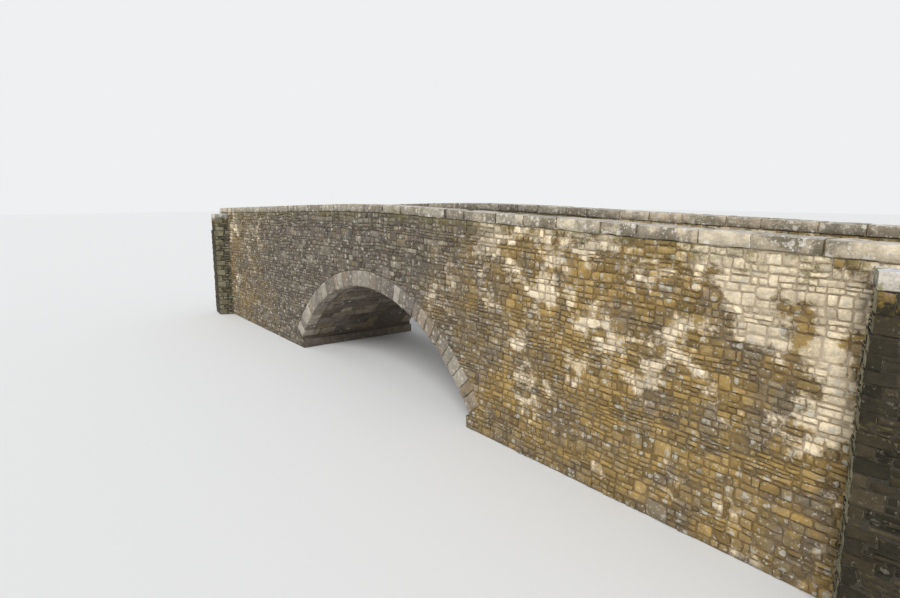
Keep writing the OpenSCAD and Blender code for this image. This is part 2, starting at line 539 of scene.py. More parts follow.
@dataclass
class StoneMesh:
    """Collects stones as closed lumps on a surface and makes one piece of them."""

    name: str  # Name of the piece.
    place: Optional[Place]  # Puts surface points in space; a piece with several faces sets it for each.
    rng: Random  # Source of each stone's bulge and tone.
    proud: Range = (0.012, 0.034)  # Height of a stone's face over the surface.
    sunk: float = 0.03  # How far the stones reach into the wall.
    broken: bool = True  # Whether a stone's face is broken by a ring of points round its middle.
    bulge: float = 0.014  # How far the middle of a stone may swell.
    smallest: float = 0.0016  # Smallest area of a stone that is kept.
    tilt: float = 0.07  # Steepest slope of a stone's face.
    chamfer: Range = (0.0256, 0.0544)  # Width of the worn rim round a face.
    rim: Range = (0.009, 0.02)  # Depth of that rim.
    verts: list = field(default_factory=list)  # Points made so far.
    faces: list = field(default_factory=list)  # Faces made so far.
    tones: list = field(default_factory=list)  # Each point's hue, value and nearness to its stone's middle.

    def add(self, outline: Outline) -> None:
        """Add one stone, unless it is too small.

        Args:
            outline: Its anticlockwise corners on the surface.
        """
        area = area_of(outline)
        if len(outline) < 3 or area <= self.smallest:
            return
        rng = self.rng
        top = rng.uniform(*self.proud)
        hue, value = rng.random(), rng.random()
        slope = (rng.uniform(-self.tilt, self.tilt), rng.uniform(-self.tilt, self.tilt))
        inset = min(0.3, rng.uniform(*self.chamfer) / math.sqrt(max(area, 1e-4)))
        # Rings of points: share of the outline's size, height, and nearness to the stone's middle.
        levels = [(1.0, -self.sunk, 0.0), (1.0, top - rng.uniform(*self.rim), 0.1), (1 - inset, top, 0.75)]
        if self.broken:
            levels.append((0.5, top + self.bulge * rng.uniform(0.2, 1.0), 1.0))
        cx, cy = middle_of(outline)
        first = len(self.verts)
        for k, (share, height, centre) in enumerate(levels):
            for x, y in outline:
                dx, dy = (x - cx) * share, (y - cy) * share
                lift = height + (dx * slope[0] + dy * slope[1]) * (0.0, 0.8, 1.0, 1.0)[k]
                if k > 1:
                    lift += rng.uniform(-0.24, 0.24) * self.bulge * (k - 1)
                self.add_point(cx + dx, cy + dy, lift, (hue, value, centre, 1.0))
        self.add_point(cx, cy, levels[-1][1] + self.bulge * rng.uniform(-0.2, 0.5), (hue, value, 1.0, 1.0))
        self.close(first, len(outline), len(levels))

    def add_point(self, u: float, v: float, height: float, tone: Colour) -> None:
        """Add one point of a stone with its tone."""
        self.verts.append(self.place(u, v, height))
        self.tones.append(tone)

    def close(self, first: int, sides: int, levels: int) -> None:
        """Add the faces of the stone whose points were added last.

        Args:
            first: Number of its first point.
            sides: Points in each of its rings.
            levels: Its rings; its peak follows them.
        """
        for k in range(levels - 1):
            a = first + k * sides
            for i in range(sides):
                j = (i + 1) % sides
                self.faces.append((a + i, a + j, a + sides + j, a + sides + i))
        a, peak = first + (levels - 1) * sides, len(self.verts) - 1
        self.faces += [(a + i, a + (i + 1) % sides, peak) for i in range(sides)]
        self.faces.append(tuple(first + i for i in reversed(range(sides))))

    def finish(self, material: Material, slot: Slot) -> Piece:
        """Make the piece, shade it, dress it and let it ride on the bridge.

        Args:
            material: Finish of the stones.
            slot: Not used.

        Returns:
            The new piece.
        """
        mesh = bpy.data.meshes.new(self.name)
        mesh.from_pydata(self.verts, [], self.faces)
        paint_tones(mesh, self.tones)
        mesh.update()
        return settle(link_new(self.name, mesh), material, sharp=38)


def upright(origin: Point, out: Point) -> Place:
    """Return a function that puts surface points on an upright face, with its right as seen from in front.

    Args:
        origin: Where the face's first coordinate is 0, in plan.
        out: The face's outward normal, in plan.

    Returns:
        The function.
    """
    (x, y), (nx, ny) = origin, out
    return lambda u, v, h: (x - ny * u + nx * h, y + nx * u + ny * h, v)


@dataclass(frozen=True)
class CornerStack:
    """Where the squared blocks of one corner lie."""

    name: str  # Name that seeds the blocks' sizes.
    corner: Point  # The corner in plan.
    along: Point  # Direction of the first face from the corner, in plan.
    across: Point  # Direction of the second face from the corner, in plan.
    top: float  # Height that the stack reaches.
    foot: float = 0.0  # Height that it starts at.
    long: Range = (0.36, 0.43)  # Reach of a block's long side.
    short: Range = (0.2, 0.29)  # Reach of its short side.
    course: Range = (0.2, 0.32)  # Height of a block.
    least: float = 0.05  # Height under the top that needs no block of its own.

    def blocks(self) -> list[tuple[float, float, float, float]]:
        """Return each block's foot, head, reach along the first face and reach along the second."""
        rng = Random(seed_of(self.name))
        heights: list[float] = []
        while sum(heights) < self.top - self.foot - self.least:
            heights.append(rng.uniform(*self.course))
        scale = (self.top - self.foot) / sum(heights)
        made, low = [], self.foot
        for i, height in enumerate(heights):
            reach = (rng.uniform(*self.long), rng.uniform(*self.short))
            made.append((low, low + height * scale, *(reach if i % 2 else reach[::-1])))
            low += height * scale
        return made

    def rects(self, start: float, way: float, face: int) -> list[Rect]:
        """Lay out the blocks on one of the two faces.

        Args:
            start: The corner's place on that face's first coordinate.
            way: 1 or -1, the way that the blocks reach from there.
            face: 0 for the first face, 1 for the second.

        Returns:
            The rectangle of each block.
        """
        made = []
        for block in self.blocks():
            end = start + way * block[2 + face]
            made.append((min(start, end), max(start, end), block[0], block[1]))
        return made


def wall_corner(face: Face, side: Side) -> CornerStack:
    """Return the stack at one corner of the bridge; its first face is the long one."""
    s = SIZES
    return CornerStack(
        f"{corner_name(face, side)}_wall_quoins", (side.way * s.half_len, face.way * s.face_y),
        (-side.way, 0.0), (0.0, -face.way), s.parapet_z(s.half_len))


class PierLevel(Enum):
    """The wider base of a corner pier and the shaft on it."""

    BASE = "base"
    SHAFT = "shaft"

    @property
    def heights(self) -> Pair:
        """Foot and head of this part of a pier."""
        sill = node_box("pier_cap_near_right")[1].z - SIZES.base_drop
        return (0.0, sill) if self is PierLevel.BASE else (sill, node_box("pier_near_right")[1].z)

    @property
    def inset(self) -> float:
        """How far this part lies inside the box of the whole pier."""
        return 0.0 if self is PierLevel.BASE else SIZES.base_out


def pier_plan(face: Face, side: Side, level: PierLevel) -> list[Vector]:
    """Return the plan of a part of a pier, anticlockwise from one end of its back on the wall."""
    low, high = node_box("pier_near_right")
    x0, x1, y0 = low.x + level.inset, high.x - level.inset, low.y + level.inset
    near_right = ((x0, high.y), (x0 + SIZES.pier_slant, y0), (x1, y0 + SIZES.pier_turn), (x1, high.y))
    plan = [Vector((x * side.way, -y * face.way)) for x, y in near_right]
    return plan if side.way * face.way < 0 else plan[::-1]


def pier_corners(face: Face, side: Side, level: PierLevel) -> list[CornerStack]:
    """Plan the stacks at the two free corners of a part of a pier.

    Args:
        face: The pier's face of the bridge.
        side: The pier's end of the bridge.
        level: The part of the pier.

    Returns:
        The two stacks; the first face of each is the one before its corner.
    """
    plan = pier_plan(face, side, level)
    foot, head = level.heights
    name = f"{corner_name(face, side)}_pier_{level.value}"
    return [
        CornerStack(
            f"{name}_{k}", tuple(plan[k]), tuple((plan[k - 1] - plan[k]).normalized()),
            tuple((plan[k + 1] - plan[k]).normalized()), head, foot, long=(0.3, 0.38), short=(0.15, 0.21),
            course=(0.16, 0.3))
        for k in (1, 2)
    ]


# Seeds of the outlines and of the tones of the pieces that aren't seeded by their names.
SEEDS = {
    "near_parapet_inner_stones": (73, 67),
    "far_parapet_inner_stones": (71, 61),
    "right_end_stones": (89, 97),
    "left_end_stones": (83, 97),
    "vault_stones": (101, 103),
    "road_stones": (211, 223),
}
FACE_SEEDS = {Face.NEAR: 17, Face.FAR: 41}


def sources(name: str) -> tuple[Random, Random]:
    """Return the sources of a piece's outlines and of its stones' tones."""
    own = seed_of(name)
    first, second = SEEDS.get(name, (own, own + 1))
    return Random(first), Random(second)


@dataclass
class WallStones:
    """The individually shaped stones that show on every wall."""

    materials: Materials
    rubble: Bond = Bond()  # Bond of the spandrels, wing walls and parapets.
    # Bond of the corner piers, in flatter stones.
    slabs: Bond = Bond(band=(0.17, 0.29), stone=(0.2, 0.6), thin_share=0.45, tall_share=0.12, wave=0.012)
    # Bond of the parapets' ends.
    jambs: Bond = Bond(band=(0.24, 0.36), stone=(0.45, 0.5), thin_share=0.0, tall_share=0.9, wave=0.0)
    # Bond of the soffit.
    vaulting: Bond = Bond(stone=(0.32, 0.95), joint=0.012, chip=0.22, wave=0.0)
    vault_start: float = 0.5  # How far before its rim a soffit course may start.
    vault_smallest: float = 0.01  # Smallest area of a soffit stone that is kept.
    sill: Range = (0.3, 0.5)  # Length of the stones along the top of a pier's base.
    sill_h: float = 0.17  # Height of those stones.
    sill_over: float = 0.012  # How far they are drawn up past the base, for the ledge.
    edge: float = 0.006  # Distance from a stone to the edge of its face.
    under_road: float = 0.02  # How far the end wall's stones stay under its head.
    pier_proud: Range = (0.006, 0.02)  # Height of a pier's stones over its faces.
    behind: Pair = (0.13, 0.1)  # How far a face's stones go on behind a pier's side and its head.

    def build(self) -> list[Piece]:
        """Build and dress all the stone pieces."""
        made: list[Piece] = []
        for face in Face:
            made += self.long_face(face)
            made.append(self.parapet_inside(face))
        for side in reversed(Side):
            made.append(self.end_face(side))
            made += [self.pier_faces(face, side) for face in Face]
        return made + [self.vault()]

    def long_face(self, face: Face) -> list[Piece]:
        """Build the stones of a whole face as a left and a right piece.

        Args:
            face: The face.

        Returns:
            The two pieces.
        """
        s, way = SIZES, face.way
        rng = Random(FACE_SEEDS[face])
        place = upright((0, way * s.face_y), (0, way))
        halves = {
            side: StoneMesh(f"{face.value}_face_stones_{side.value}", place, Random(rng.random()),
                            broken=face is Face.NEAR)
            for side in Side
        }
        blocks: list[Rect] = []
        for side in Side:
            end = -side.way * way
            blocks += wall_corner(face, side).rects(end * s.half_len, -end, 0)
        top = s.parapet_z(0)
        for outline in self.rubble.fill(rng, 2 * s.half_len, top):
            level = [(u - s.half_len, v) for u, v in outline]
            shaped = self.trim_to_face(spare([(u, v * s.parapet_z(u) / top) for u, v in level], blocks))
            right = sum(u for u, _ in shaped) * way < 0
            halves[Side.RIGHT if right else Side.LEFT].add(shaped)
        return [half.finish(self.materials[Finish.RUBBLE], Slot.RUBBLE) for half in halves.values()]

    def trim_to_face(self, outline: Outline) -> Outline:
        """Trim a stone to the face's edges, its footing and the arch, and leave it out behind a pier.

        Args:
            outline: Corners in distance from the crown and height.

        Returns:
            What is left of the outline; it can be empty.
        """
        if len(outline) < 3:
            return []
        s, edge = SIZES, self.edge
        cx, cy = middle_of(outline)
        way = 1.0 if cx >= 0 else -1.0
        pier_low, pier_high = node_box("pier_near_right")
        aside, below = self.behind
        if pier_low.x + aside < abs(cx) < pier_high.x - aside and cy < pier_high.z - below:
            return []
        outline = clip(outline, way * (s.half_len - edge), 0, way, 0)
        outline = clip(outline, 0, edge, 0, -1)
        outline = clip(outline, cx, s.parapet_z(cx) - edge, -s.slope(cx), 1)
        foot_low, foot_high = node_box("footing_right")
        half = s.arch_span / 2
        seat_x, seat_z = s.back_r * math.sin(s.spring_a), s.arch_z + s.back_r * math.cos(s.spring_a)
        if cy < foot_high.z and abs(cx) < seat_x:
            outline = clip(outline, way * (foot_low.x + edge), 0, -way, 0)
            return clip(outline, 0, foot_high.z, 0, 1)
        if cy < seat_z:
            outline = clip(outline, way * (half + edge), 0, -way, 0)
            return clip(outline, way * half, s.spring_z - edge, -way * (seat_z - s.spring_z), seat_x - half)
        out_z = cy - s.arch_z
        share = (s.back_r + 2 * edge) / math.hypot(cx, out_z)
        return clip(outline, cx * share, s.arch_z + out_z * share, -cx, -out_z)

    def parapet_inside(self, face: Face) -> Piece:
        """Build the stones of a parapet's inner face, in courses that follow the road.

        Args:
            face: The face that the parapet stands on.

        Returns:
            The new piece.
        """
        s, way, edge = SIZES, face.way, self.edge
        name = f"{face.value}_parapet_inner_stones"
        rng, tones = sources(name)
        place = upright((0, way * s.inner_y), (0, -way))
        stones = StoneMesh(name, place, tones, broken=False)
        for outline in self.rubble.fill(rng, 2 * s.half_len, s.parapet_h):
            level = [(u - s.half_len, v) for u, v in outline]
            top = s.parapet_z(middle_of(level)[0]) - edge
            shaped = [(u, v + s.road_z(u)) for u, v in level]
            stones.add(within(shaped, edge - s.half_len, s.half_len - edge, v1=top))
        return stones.finish(self.materials[Finish.RUBBLE], Slot.RUBBLE)

    def end_face(self, side: Side) -> Piece:
        """Build the stones of an end of the bridge: the end wall and the parapets' ends.

        Args:
            side: The end.

        Returns:
            The new piece.
        """
        s, way, edge = SIZES, side.way, self.edge
        name = f"{side.value}_end_stones"
        rng, tones = sources(name)
        place = upright((way * s.half_len, 0), (way, 0))
        stones = StoneMesh(name, place, tones, broken=False)
        blocks: list[Rect] = []
        for face in Face:
            end = face.way * way
            blocks += wall_corner(face, side).rects(end * s.face_y, -end, 1)
        bed, head = node_box("end_wall_right")[1].z - self.under_road, s.parapet_z(s.half_len)
        strips = (
            (self.rubble, -s.inner_y, s.inner_y, bed),
            (self.jambs, -s.face_y, -s.inner_y, head),
            (self.jambs, s.inner_y, s.face_y, head),
        )
        for bond, low, high, top in strips:
            for outline in bond.fill(rng, high - low, top):
                shaped = [(u + low, v) for u, v in outline]
                stones.add(spare(within(shaped, low + edge, high - edge, edge, top - edge), blocks))
        return stones.finish(self.materials[Finish.RUBBLE], Slot.RUBBLE)

    def pier_faces(self, face: Face, side: Side) -> Piece:
        """Build the flat-bedded stones on the three open faces of a corner pier's base and shaft.

        Args:
            face: The pier's face of the bridge.
            side: The pier's end of the bridge.

        Returns:
            The new piece.
        """
        name = f"{corner_name(face, side)}_pier_stones"
        rng, tones = sources(name)
        stones = StoneMesh(
            name, None, tones, self.pier_proud, sunk=SIZES.base_out + self.edge, broken=face is Face.NEAR)
        for level in PierLevel:
            plan = pier_plan(face, side, level)
            corners = pier_corners(face, side, level)
            for k, (a, b) in enumerate(zip(plan, plan[1:])):
                along, length = (b - a).normalized(), (b - a).length
                blocks = corners[k].rects(length, -1, 0) if k < 2 else []
                blocks += corners[k - 1].rects(0, 1, 1) if k > 0 else []
                stones.place = upright(tuple(a), (along.y, -along.x))
                for outline in self.pier_outlines(rng, length, level):
                    stones.add(spare(within(outline, self.edge, length - self.edge, FOOT_Z), blocks))
        # The piers' finish holds painted shade and painted light.
        return stones.finish(self.materials[Finish.PIER], Slot.RUBBLE)

    def pier_outlines(self, rng: Random, length: float, level: PierLevel) -> list[Outline]:
        """Fill one face of a part of a pier; long sill stones lie along the top of the base.

        Args:
            rng: Source of the stones' sizes.
            length: Length of the face.
            level: The part of the pier.

        Returns:
            Outlines in length along the face and height.
        """
        foot, head = level.heights
        if level is PierLevel.SHAFT:
            shaft = self.slabs.fill(rng, length, head - foot - 2 * self.edge)
            return [[(u, v + foot + self.edge) for u, v in outline] for outline in shaft]
        sill_z, start = head - self.sill_h, 0.0
        below = self.slabs.fill(rng, length, sill_z)
        outlines = [within(outline, v1=sill_z - self.edge) for outline in below]
        while start < length:
            end = start + rng.uniform(*self.sill)
            outlines.append(self.slabs.stone_outline(rng, start, end, sill_z, head + self.sill_over))
            start = end
        return outlines

    def vault(self) -> Piece:
        """Build the stones of the vault's soffit, in courses that carry on from the ring's joints."""
        s, bond = SIZES, self.vaulting
        rng, tones = sources("vault_stones")
        deep = s.face_y - s.ring_reach

        def place(u: float, v: float, h: float) -> Spot:
            """Put a point of the unrolled soffit in space; the height points at the waterway."""
            angle = u / s.soffit_r
            reach = s.soffit_r - h
            return (reach * math.sin(angle), -v, s.arch_z + reach * math.cos(angle))

        stones = StoneMesh("vault_stones", place, tones, (0.004, 0.02), broken=False, bulge=0.006,
                           smallest=self.vault_smallest)
        right = s.ring_angles()
        joints = [angle * s.soffit_r for angle in [-angle for angle in reversed(right)] + right]
        for low, high in zip(joints, joints[1:]):
            v = -deep - rng.uniform(0, self.vault_start)
            while v < deep:
                end = v + rng.uniform(*bond.stone)
                outline = bond.stone_outline(rng, low, high, v, end)
                stones.add(within(outline, v0=-deep + bond.joint, v1=deep - bond.joint))
                v = end
        return stones.finish(self.materials[Finish.VAULT], Slot.ARCH)


@dataclass(frozen=True)
class Weathering:
    """Wears the frame's plain wedges and blocks into old dressed stones."""

    arris: float = 0.014  # Width of the worn arris.
    blunt: Range = (0.7, 1.3)  # Share of that width on a stone.
    cell: float = 0.11  # Greatest length of a face's cells.
    stray: float = 0.2  # How far a cut between cells may stray, as a share of a cell.
    wear: float = 0.006  # How far the faces wander.
    wear_scale: Pair = (2.7, 9.0)  # How fast, in a broad and a fine wave.
    chip: float = 0.026  # How deep the chips along an arris go.
    chip_scale: Pair = (4.2, 13.0)  # How closely the broad and the fine chips follow each other.
    chip_from: Pair = (-0.05, 0.15)  # Wave heights that broad and fine chips start at.
    fine: float = 0.6  # Share of the fine waves and chips beside the broad ones.
    arris_dot: float = 0.9  # Points whose faces' normals agree by less than this are on an arris.
    shift: float = 0.006  # How far a stone may sit off its line.
    lift: Range = (-0.3, 0.6)  # Share of the shift that a stone is lifted by.
    swell: Range = (-0.01, 0.02)  # Growth of a stone across the wall.
    drawn: float = 0.0  # How far faces flush with the wall are drawn out, to meet the rubble's.
    stained: bool = False  # Whether a stone's foot is dirtier than its head.
    merge: float = 0.0004  # Points of the frame nearer than this are one.
    flat: float = 1.2  # Faces that meet at fewer degrees are one.
    sharp: float = 35  # Edges that turn by more degrees are arrises.
    flush: float = 0.01  # Points this near the wall's face are flush with it.

    def worn_copy(self, node: str, name: str, material: Material, slot: Slot) -> Piece:
        """Model a node's stones anew as worn ones, one by one, in place of the node.

        Args:
            node: The frame's node.
            name: Name of the new piece.
            material: Its finish.
            slot: Not used.

        Returns:
            The new piece.
        """
        copy = link_new(name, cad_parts[node].data.copy())
        select_only(copy)
        edit_whole()
        bpy.ops.mesh.remove_doubles(threshold=self.merge)
        bpy.ops.mesh.dissolve_limited(angle_limit=math.radians(self.flat))
        bpy.ops.mesh.separate(type="LOOSE")
        bpy.ops.object.mode_set(mode="OBJECT")
        stones = list(bpy.context.selected_objects)
        rng = Random(seed_of(name))
        for stone in sorted(stones, key=lambda one: tuple(round(c, 3) for c in one.data.vertices[0].co)):
            self.wear_stone(stone, rng)
        join(name, copy, *(stone for stone in stones if stone != copy))
        settle(copy, material, sharp=33)
        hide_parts(node)
        return copy

    def wear_stone(self, stone: Piece, rng: Random) -> None:
        """Blunt one stone's arrises, cut its faces into cells, chip it and give it a tone.

        Args:
            stone: The stone, changed in place.
            rng: Source of the stone's wear.
        """
        select_only(stone)
        points = points_of(stone.data)
        flush = np.abs(points[:, 1]) > SIZES.face_y - self.flush
        points[flush, 1] += np.sign(points[flush, 1]) * self.drawn
        middle = points.mean(0)
        points = points + np.array([0.0, rng.uniform(-1, 1), rng.uniform(*self.lift)]) * self.shift
        points += (points - middle) * np.array([0.0, rng.uniform(*self.swell), 0.0])
        stone.data.vertices.foreach_set("co", points.ravel())
        low, high = points.min(0), points.max(0)
        bpy.ops.object.mode_set(mode="EDIT")
        bpy.ops.mesh.select_all(action="DESELECT")
        bpy.ops.mesh.select_mode(type="EDGE")
        bpy.ops.mesh.edges_select_sharp(sharpness=math.radians(self.sharp))
        bpy.ops.mesh.bevel(offset=self.arris * rng.uniform(*self.blunt), segments=1, affect="EDGES")
        for axis, (start, end) in enumerate(zip(low, high)):
            cells = round((end - start) / self.cell)
            normal = tuple(float(k == axis) for k in range(3))
            for i in range(1, cells):
                at = start + (end - start) * (i + rng.uniform(-self.stray, self.stray)) / cells
                bpy.ops.mesh.select_all(action="SELECT")
                bpy.ops.mesh.bisect(plane_co=tuple(at * n for n in normal), plane_no=normal)
        bpy.ops.object.mode_set(mode="OBJECT")
        self.wander(stone.data, rng)
        tones = np.tile((rng.random(), rng.random(), 1.0, 1.0), (len(stone.data.vertices), 1))
        if self.stained:
            up = points_of(stone.data)[:, 2]
            tones[:, 2] = (up - up.min()) / (up.max() - up.min())
        paint_tones(stone.data, tones)

    def wander(self, mesh: Mesh, rng: Random) -> None:
        """Move a stone's points: all a little, those on an arris inwards where it is chipped.

        Args:
            mesh: The stone's mesh, changed in place.
            rng: Source of the stone's wear.
        """
        faces_at: dict[int, list[Vector]] = {}
        for face in mesh.polygons:
            for index in face.vertices:
                faces_at.setdefault(index, []).append(face.normal.copy())
        seed = Vector((rng.uniform(0, 90), 0, 0))
        for index, normals in faces_at.items():
            vertex = mesh.vertices[index]
            spot = vertex.co + seed
            broad, fine = (noise.noise(spot * scale) for scale in self.wear_scale)
            move = self.wear * (broad + self.fine * fine)
            if min(normals[0].dot(n) for n in normals) < self.arris_dot:
                broad, fine = (
                    max(0.0, noise.noise(spot * scale) - start)
                    for scale, start in zip(self.chip_scale, self.chip_from))
                move -= self.chip * (broad + self.fine * fine)
            vertex.co += sum(normals, Vector()).normalized() * move


@dataclass
class DressedStones:
    """The ring, coping and cap stones, remade as worn dressed blocks, and the coping's mortar."""

    materials: Materials
    ring: Weathering = Weathering(arris=0.012, cell=0.1, drawn=0.024)
    coping: Weathering = Weathering(arris=0.015, cell=0.12, wear=0.008, chip=0.034, stained=True)
    cap: Weathering = Weathering(arris=0.01, cell=0.12, wear=0.005, chip=0.022, shift=0.0, stained=True)
    bed_in: float = 0.028  # How far the mortar between the coping stones lies behind their faces.
    bed_reach: float = 0.05  # How far it reaches in over a stone's end.
    bed_rough: float = 0.01  # How rough it is.
    widest_filled: float = 0.03  # Widest joint that still has its mortar.

    def build(self) -> list[Piece]:
        """Build and dress the ring, the coping, its mortar and the caps."""
        ring, coping, cap = (self.materials[finish] for finish in (Finish.RING, Finish.COPING, Finish.CAP))
        made = []
        for face in Face:
            near = face.value
            made.append(self.ring.worn_copy(f"keystone_{near}", f"{near}_keystone_worn", ring, Slot.ARCH))
            for side in Side:
                where = corner_name(face, side)
                made += [
                    self.ring.worn_copy(f"arch_ring_{where}", f"{where}_ring_worn", ring, Slot.ARCH),
                    self.coping.worn_copy(f"coping_{where}", f"{where}_coping_worn", coping, Slot.DRESSED),
                    self.coping_bed(where),
                    self.cap.worn_copy(f"pier_cap_{where}", f"{where}_pier_cap_worn", cap, Slot.DRESSED),
                ]
        return made

    def coping_bed(self, where: str) -> Piece:
        """Model the mortar that shows in the joints of one coping, stone by stone.

        Args:
            where: Name of its corner.

        Returns:
            The mortar as one piece.
        """
        spans = self.stone_spans(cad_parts[f"coping_{where}"].data)
        low, high = node_box(f"coping_{where}")
        tall = high.z - SIZES.parapet_z(0) - self.bed_in
        deep = high.y - low.y - 2 * self.bed_in
        strips: list[Piece] = []
        for (_, end), (start, _) in zip(spans, spans[1:]):
            if start - end < self.widest_filled:
                x = (end + start) / 2
                strips.append(add_cube(
                    location=(x, (low.y + high.y) / 2, SIZES.parapet_z(x) + tall / 2),
                    scale=(start - end + 2 * self.bed_reach, deep, tall)))
                edit_whole()
                bpy.ops.mesh.subdivide(number_cuts=3)
                bpy.ops.transform.vertex_random(
                    offset=self.bed_rough, uniform=0.5, normal=0.5, seed=len(strips) - 1)
                bpy.ops.object.mode_set(mode="OBJECT")
        piece = join(f"{where}_coping_mortar", *strips)
        return settle(piece, self.materials[Finish.MORTAR])

    def stone_spans(self, mesh: Mesh) -> list[Range]:
        """Return the least and greatest x of each stone in a coping's mesh, from left to right."""
        ends = sorted({round(v.co.x, 4) for v in mesh.vertices})
        spans = list(zip(ends[::2], ends[1::2]))
        if spans[0][0] > 0:
            spans.append((-spans[0][1], -spans[0][0]))
        return sorted(spans)


@dataclass
class HewnBlocks:
    """Rough squared blocks, modelled once and copied to where they lie."""

    masters: int = 6  # How many blocks are modelled.
    arris: float = 0.07  # Width of the worn arris, as a share of a block's side.
    rough: float = 0.045  # How far the faces wander, as a share of a block's side.
    face_area: float = 0.3  # Area from which a face of a master is one of its six sides.
    seed: int = 11  # Seed of the first master.
    middle: float = 0.6  # How near its middle a block counts as, for the dirt along its rim.
    models: list[Piece] = field(default_factory=list)  # The masters.
    laid: list[Piece] = field(default_factory=list)  # Copies laid since the last piece was joined.

    def __post_init__(self) -> None:
        """Model the masters, of unit size with a corner at the origin."""
        for index in range(self.masters):
            block = add_cube(location=(0.5, 0.5, 0.5))
            edit_whole()
            bpy.ops.mesh.bevel(offset=self.arris, segments=1, affect="EDGES")
            bpy.ops.object.mode_set(mode="OBJECT")
            for face in block.data.polygons:
                face.select = face.area > self.face_area
            bpy.ops.object.mode_set(mode="EDIT")
            bpy.ops.mesh.subdivide(number_cuts=2, smoothness=0.0)
            bpy.ops.mesh.select_all(action="SELECT")
            bpy.ops.transform.vertex_random(
                offset=self.rough, uniform=0.7, normal=0.3, seed=self.seed + index)
            bpy.ops.object.mode_set(mode="OBJECT")
            self.models.append(block)

    def lay(self, rng: Random, start: Point, u: Point, w: Point, low: float, high: float) -> None:
        """Lay a copy of a master.

        Args:
            rng: Source of the block's shape and tone.
            start: The block's corner in plan.
            u: Its first side in plan, with its length.
            w: Its second side in plan, with its length.
            low: Height of its foot.
            high: Height of its head.
        """
        if u[0] * w[1] - u[1] * w[0] < 0:
            u, w = w, u
        block = link_new("block", self.models[rng.randrange(self.masters)].data.copy())
        block.data.transform(Matrix((
            (u[0], w[0], 0, start[0]), (u[1], w[1], 0, start[1]), (0, 0, high - low, low), (0, 0, 0, 1))))
        tone = (rng.random(), rng.random(), self.middle, 1.0)
        paint_tones(block.data, [tone] * len(block.data.vertices))
        self.laid.append(block)

    def join(self, name: str, material: Material, slot: Slot) -> Piece:
        """Join the blocks laid since the last time into one finished piece."""
        piece = settle(join(name, *self.laid), material, sharp=45)
        self.laid.clear()
        return piece

    def remove_models(self) -> None:
        """Remove the masters once nothing more is laid."""
        for block in self.models:
            bpy.data.objects.remove(block)
        self.models.clear()


@dataclass
class Quoins:
    """The squared blocks of the bridge's corners and of the piers' free corners."""

    materials: Materials
    hewn: HewnBlocks  # The rough blocks.
    proud: Range = (0.016, 0.03)  # Step of a block out of the wall.
    pier_proud: Range = (0.006, 0.016)  # Step of a block out of a pier.
    joint: float = 0.014  # Width of the bed joints.
    seed_step: int = 5  # Added to a stack's seed for its laying.

    def stack(self, plan: CornerStack, proud: Range) -> None:
        """Lay the blocks of one corner.

        Args:
            plan: Where they lie.
            proud: Step of a block out of the faces.
        """
        rng = Random(seed_of(plan.name) + self.seed_step)
        for low, high, first, second in plan.blocks():
            out = rng.uniform(*proud)
            start = tuple(plan.corner[k] - (plan.along[k] + plan.across[k]) * out for k in range(2))
            u = tuple(plan.along[k] * (first + out) for k in range(2))
            w = tuple(plan.across[k] * (second + out) for k in range(2))
            self.hewn.lay(rng, start, u, w, low + self.joint / 2, high - self.joint / 2)

    def build(self) -> list[Piece]:
        """Build the stacks of all the corners."""
        made = []
        for side in reversed(Side):
            for face in Face:
                where = corner_name(face, side)
                self.stack(wall_corner(face, side), self.proud)
                finish = self.materials[Finish.QUOIN]
                made.append(self.hewn.join(f"{where}_wall_quoins", finish, Slot.DRESSED))
                for level in PierLevel:
                    for plan in pier_corners(face, side, level):
                        self.stack(plan, self.pier_proud)
                # The piers' quoins take the piers' finish, with its painted shade and painted light.
                finish = self.materials[Finish.PIER]
                made.append(self.hewn.join(f"{where}_pier_quoins", finish, Slot.DRESSED))
        return made


@dataclass
class FootingCourse:
    """The course of large blocks that shows along each footing inside the waterway."""

    materials: Materials
    hewn: HewnBlocks  # The rough blocks.
    block: Range = (0.42, 0.95)  # Length of a block.
    proud: Range = (0.004, 0.022)  # Step of a block towards the waterway.
    over: Range = (0.004, 0.014)  # Step of a block over the footing's top.
    foot: float = 0.004  # Height of the blocks' feet.
    deep: float = 0.3  # How far a block reaches back.
    joint: float = 0.016  # Width of the joints.

    def build(self) -> list[Piece]:
        """Build the course of each side."""
        return [self.course(side) for side in reversed(Side)]

    def course(self, side: Side) -> Piece:
        """Lay the blocks of one side.

        Args:
            side: The side.

        Returns:
            The new piece.
        """
        low, high = node_box("footing_right")
        name = f"{side.value}_footing_blocks"
        rng = Random(seed_of(name))
        y = low.y
        while y < high.y - self.joint:
            step = rng.uniform(*self.block)
            if high.y - y - step < self.block[0]:
                step = high.y - y
            out = rng.uniform(*self.proud)
            start = (side.way * (low.x - out), y + self.joint / 2)
            self.hewn.lay(rng, start, (side.way * self.deep, 0.0), (0.0, step - self.joint), self.foot,
                          high.z + rng.uniform(*self.over))
            y += step
        return self.hewn.join(name, self.materials[Finish.VAULT], Slot.ARCH)


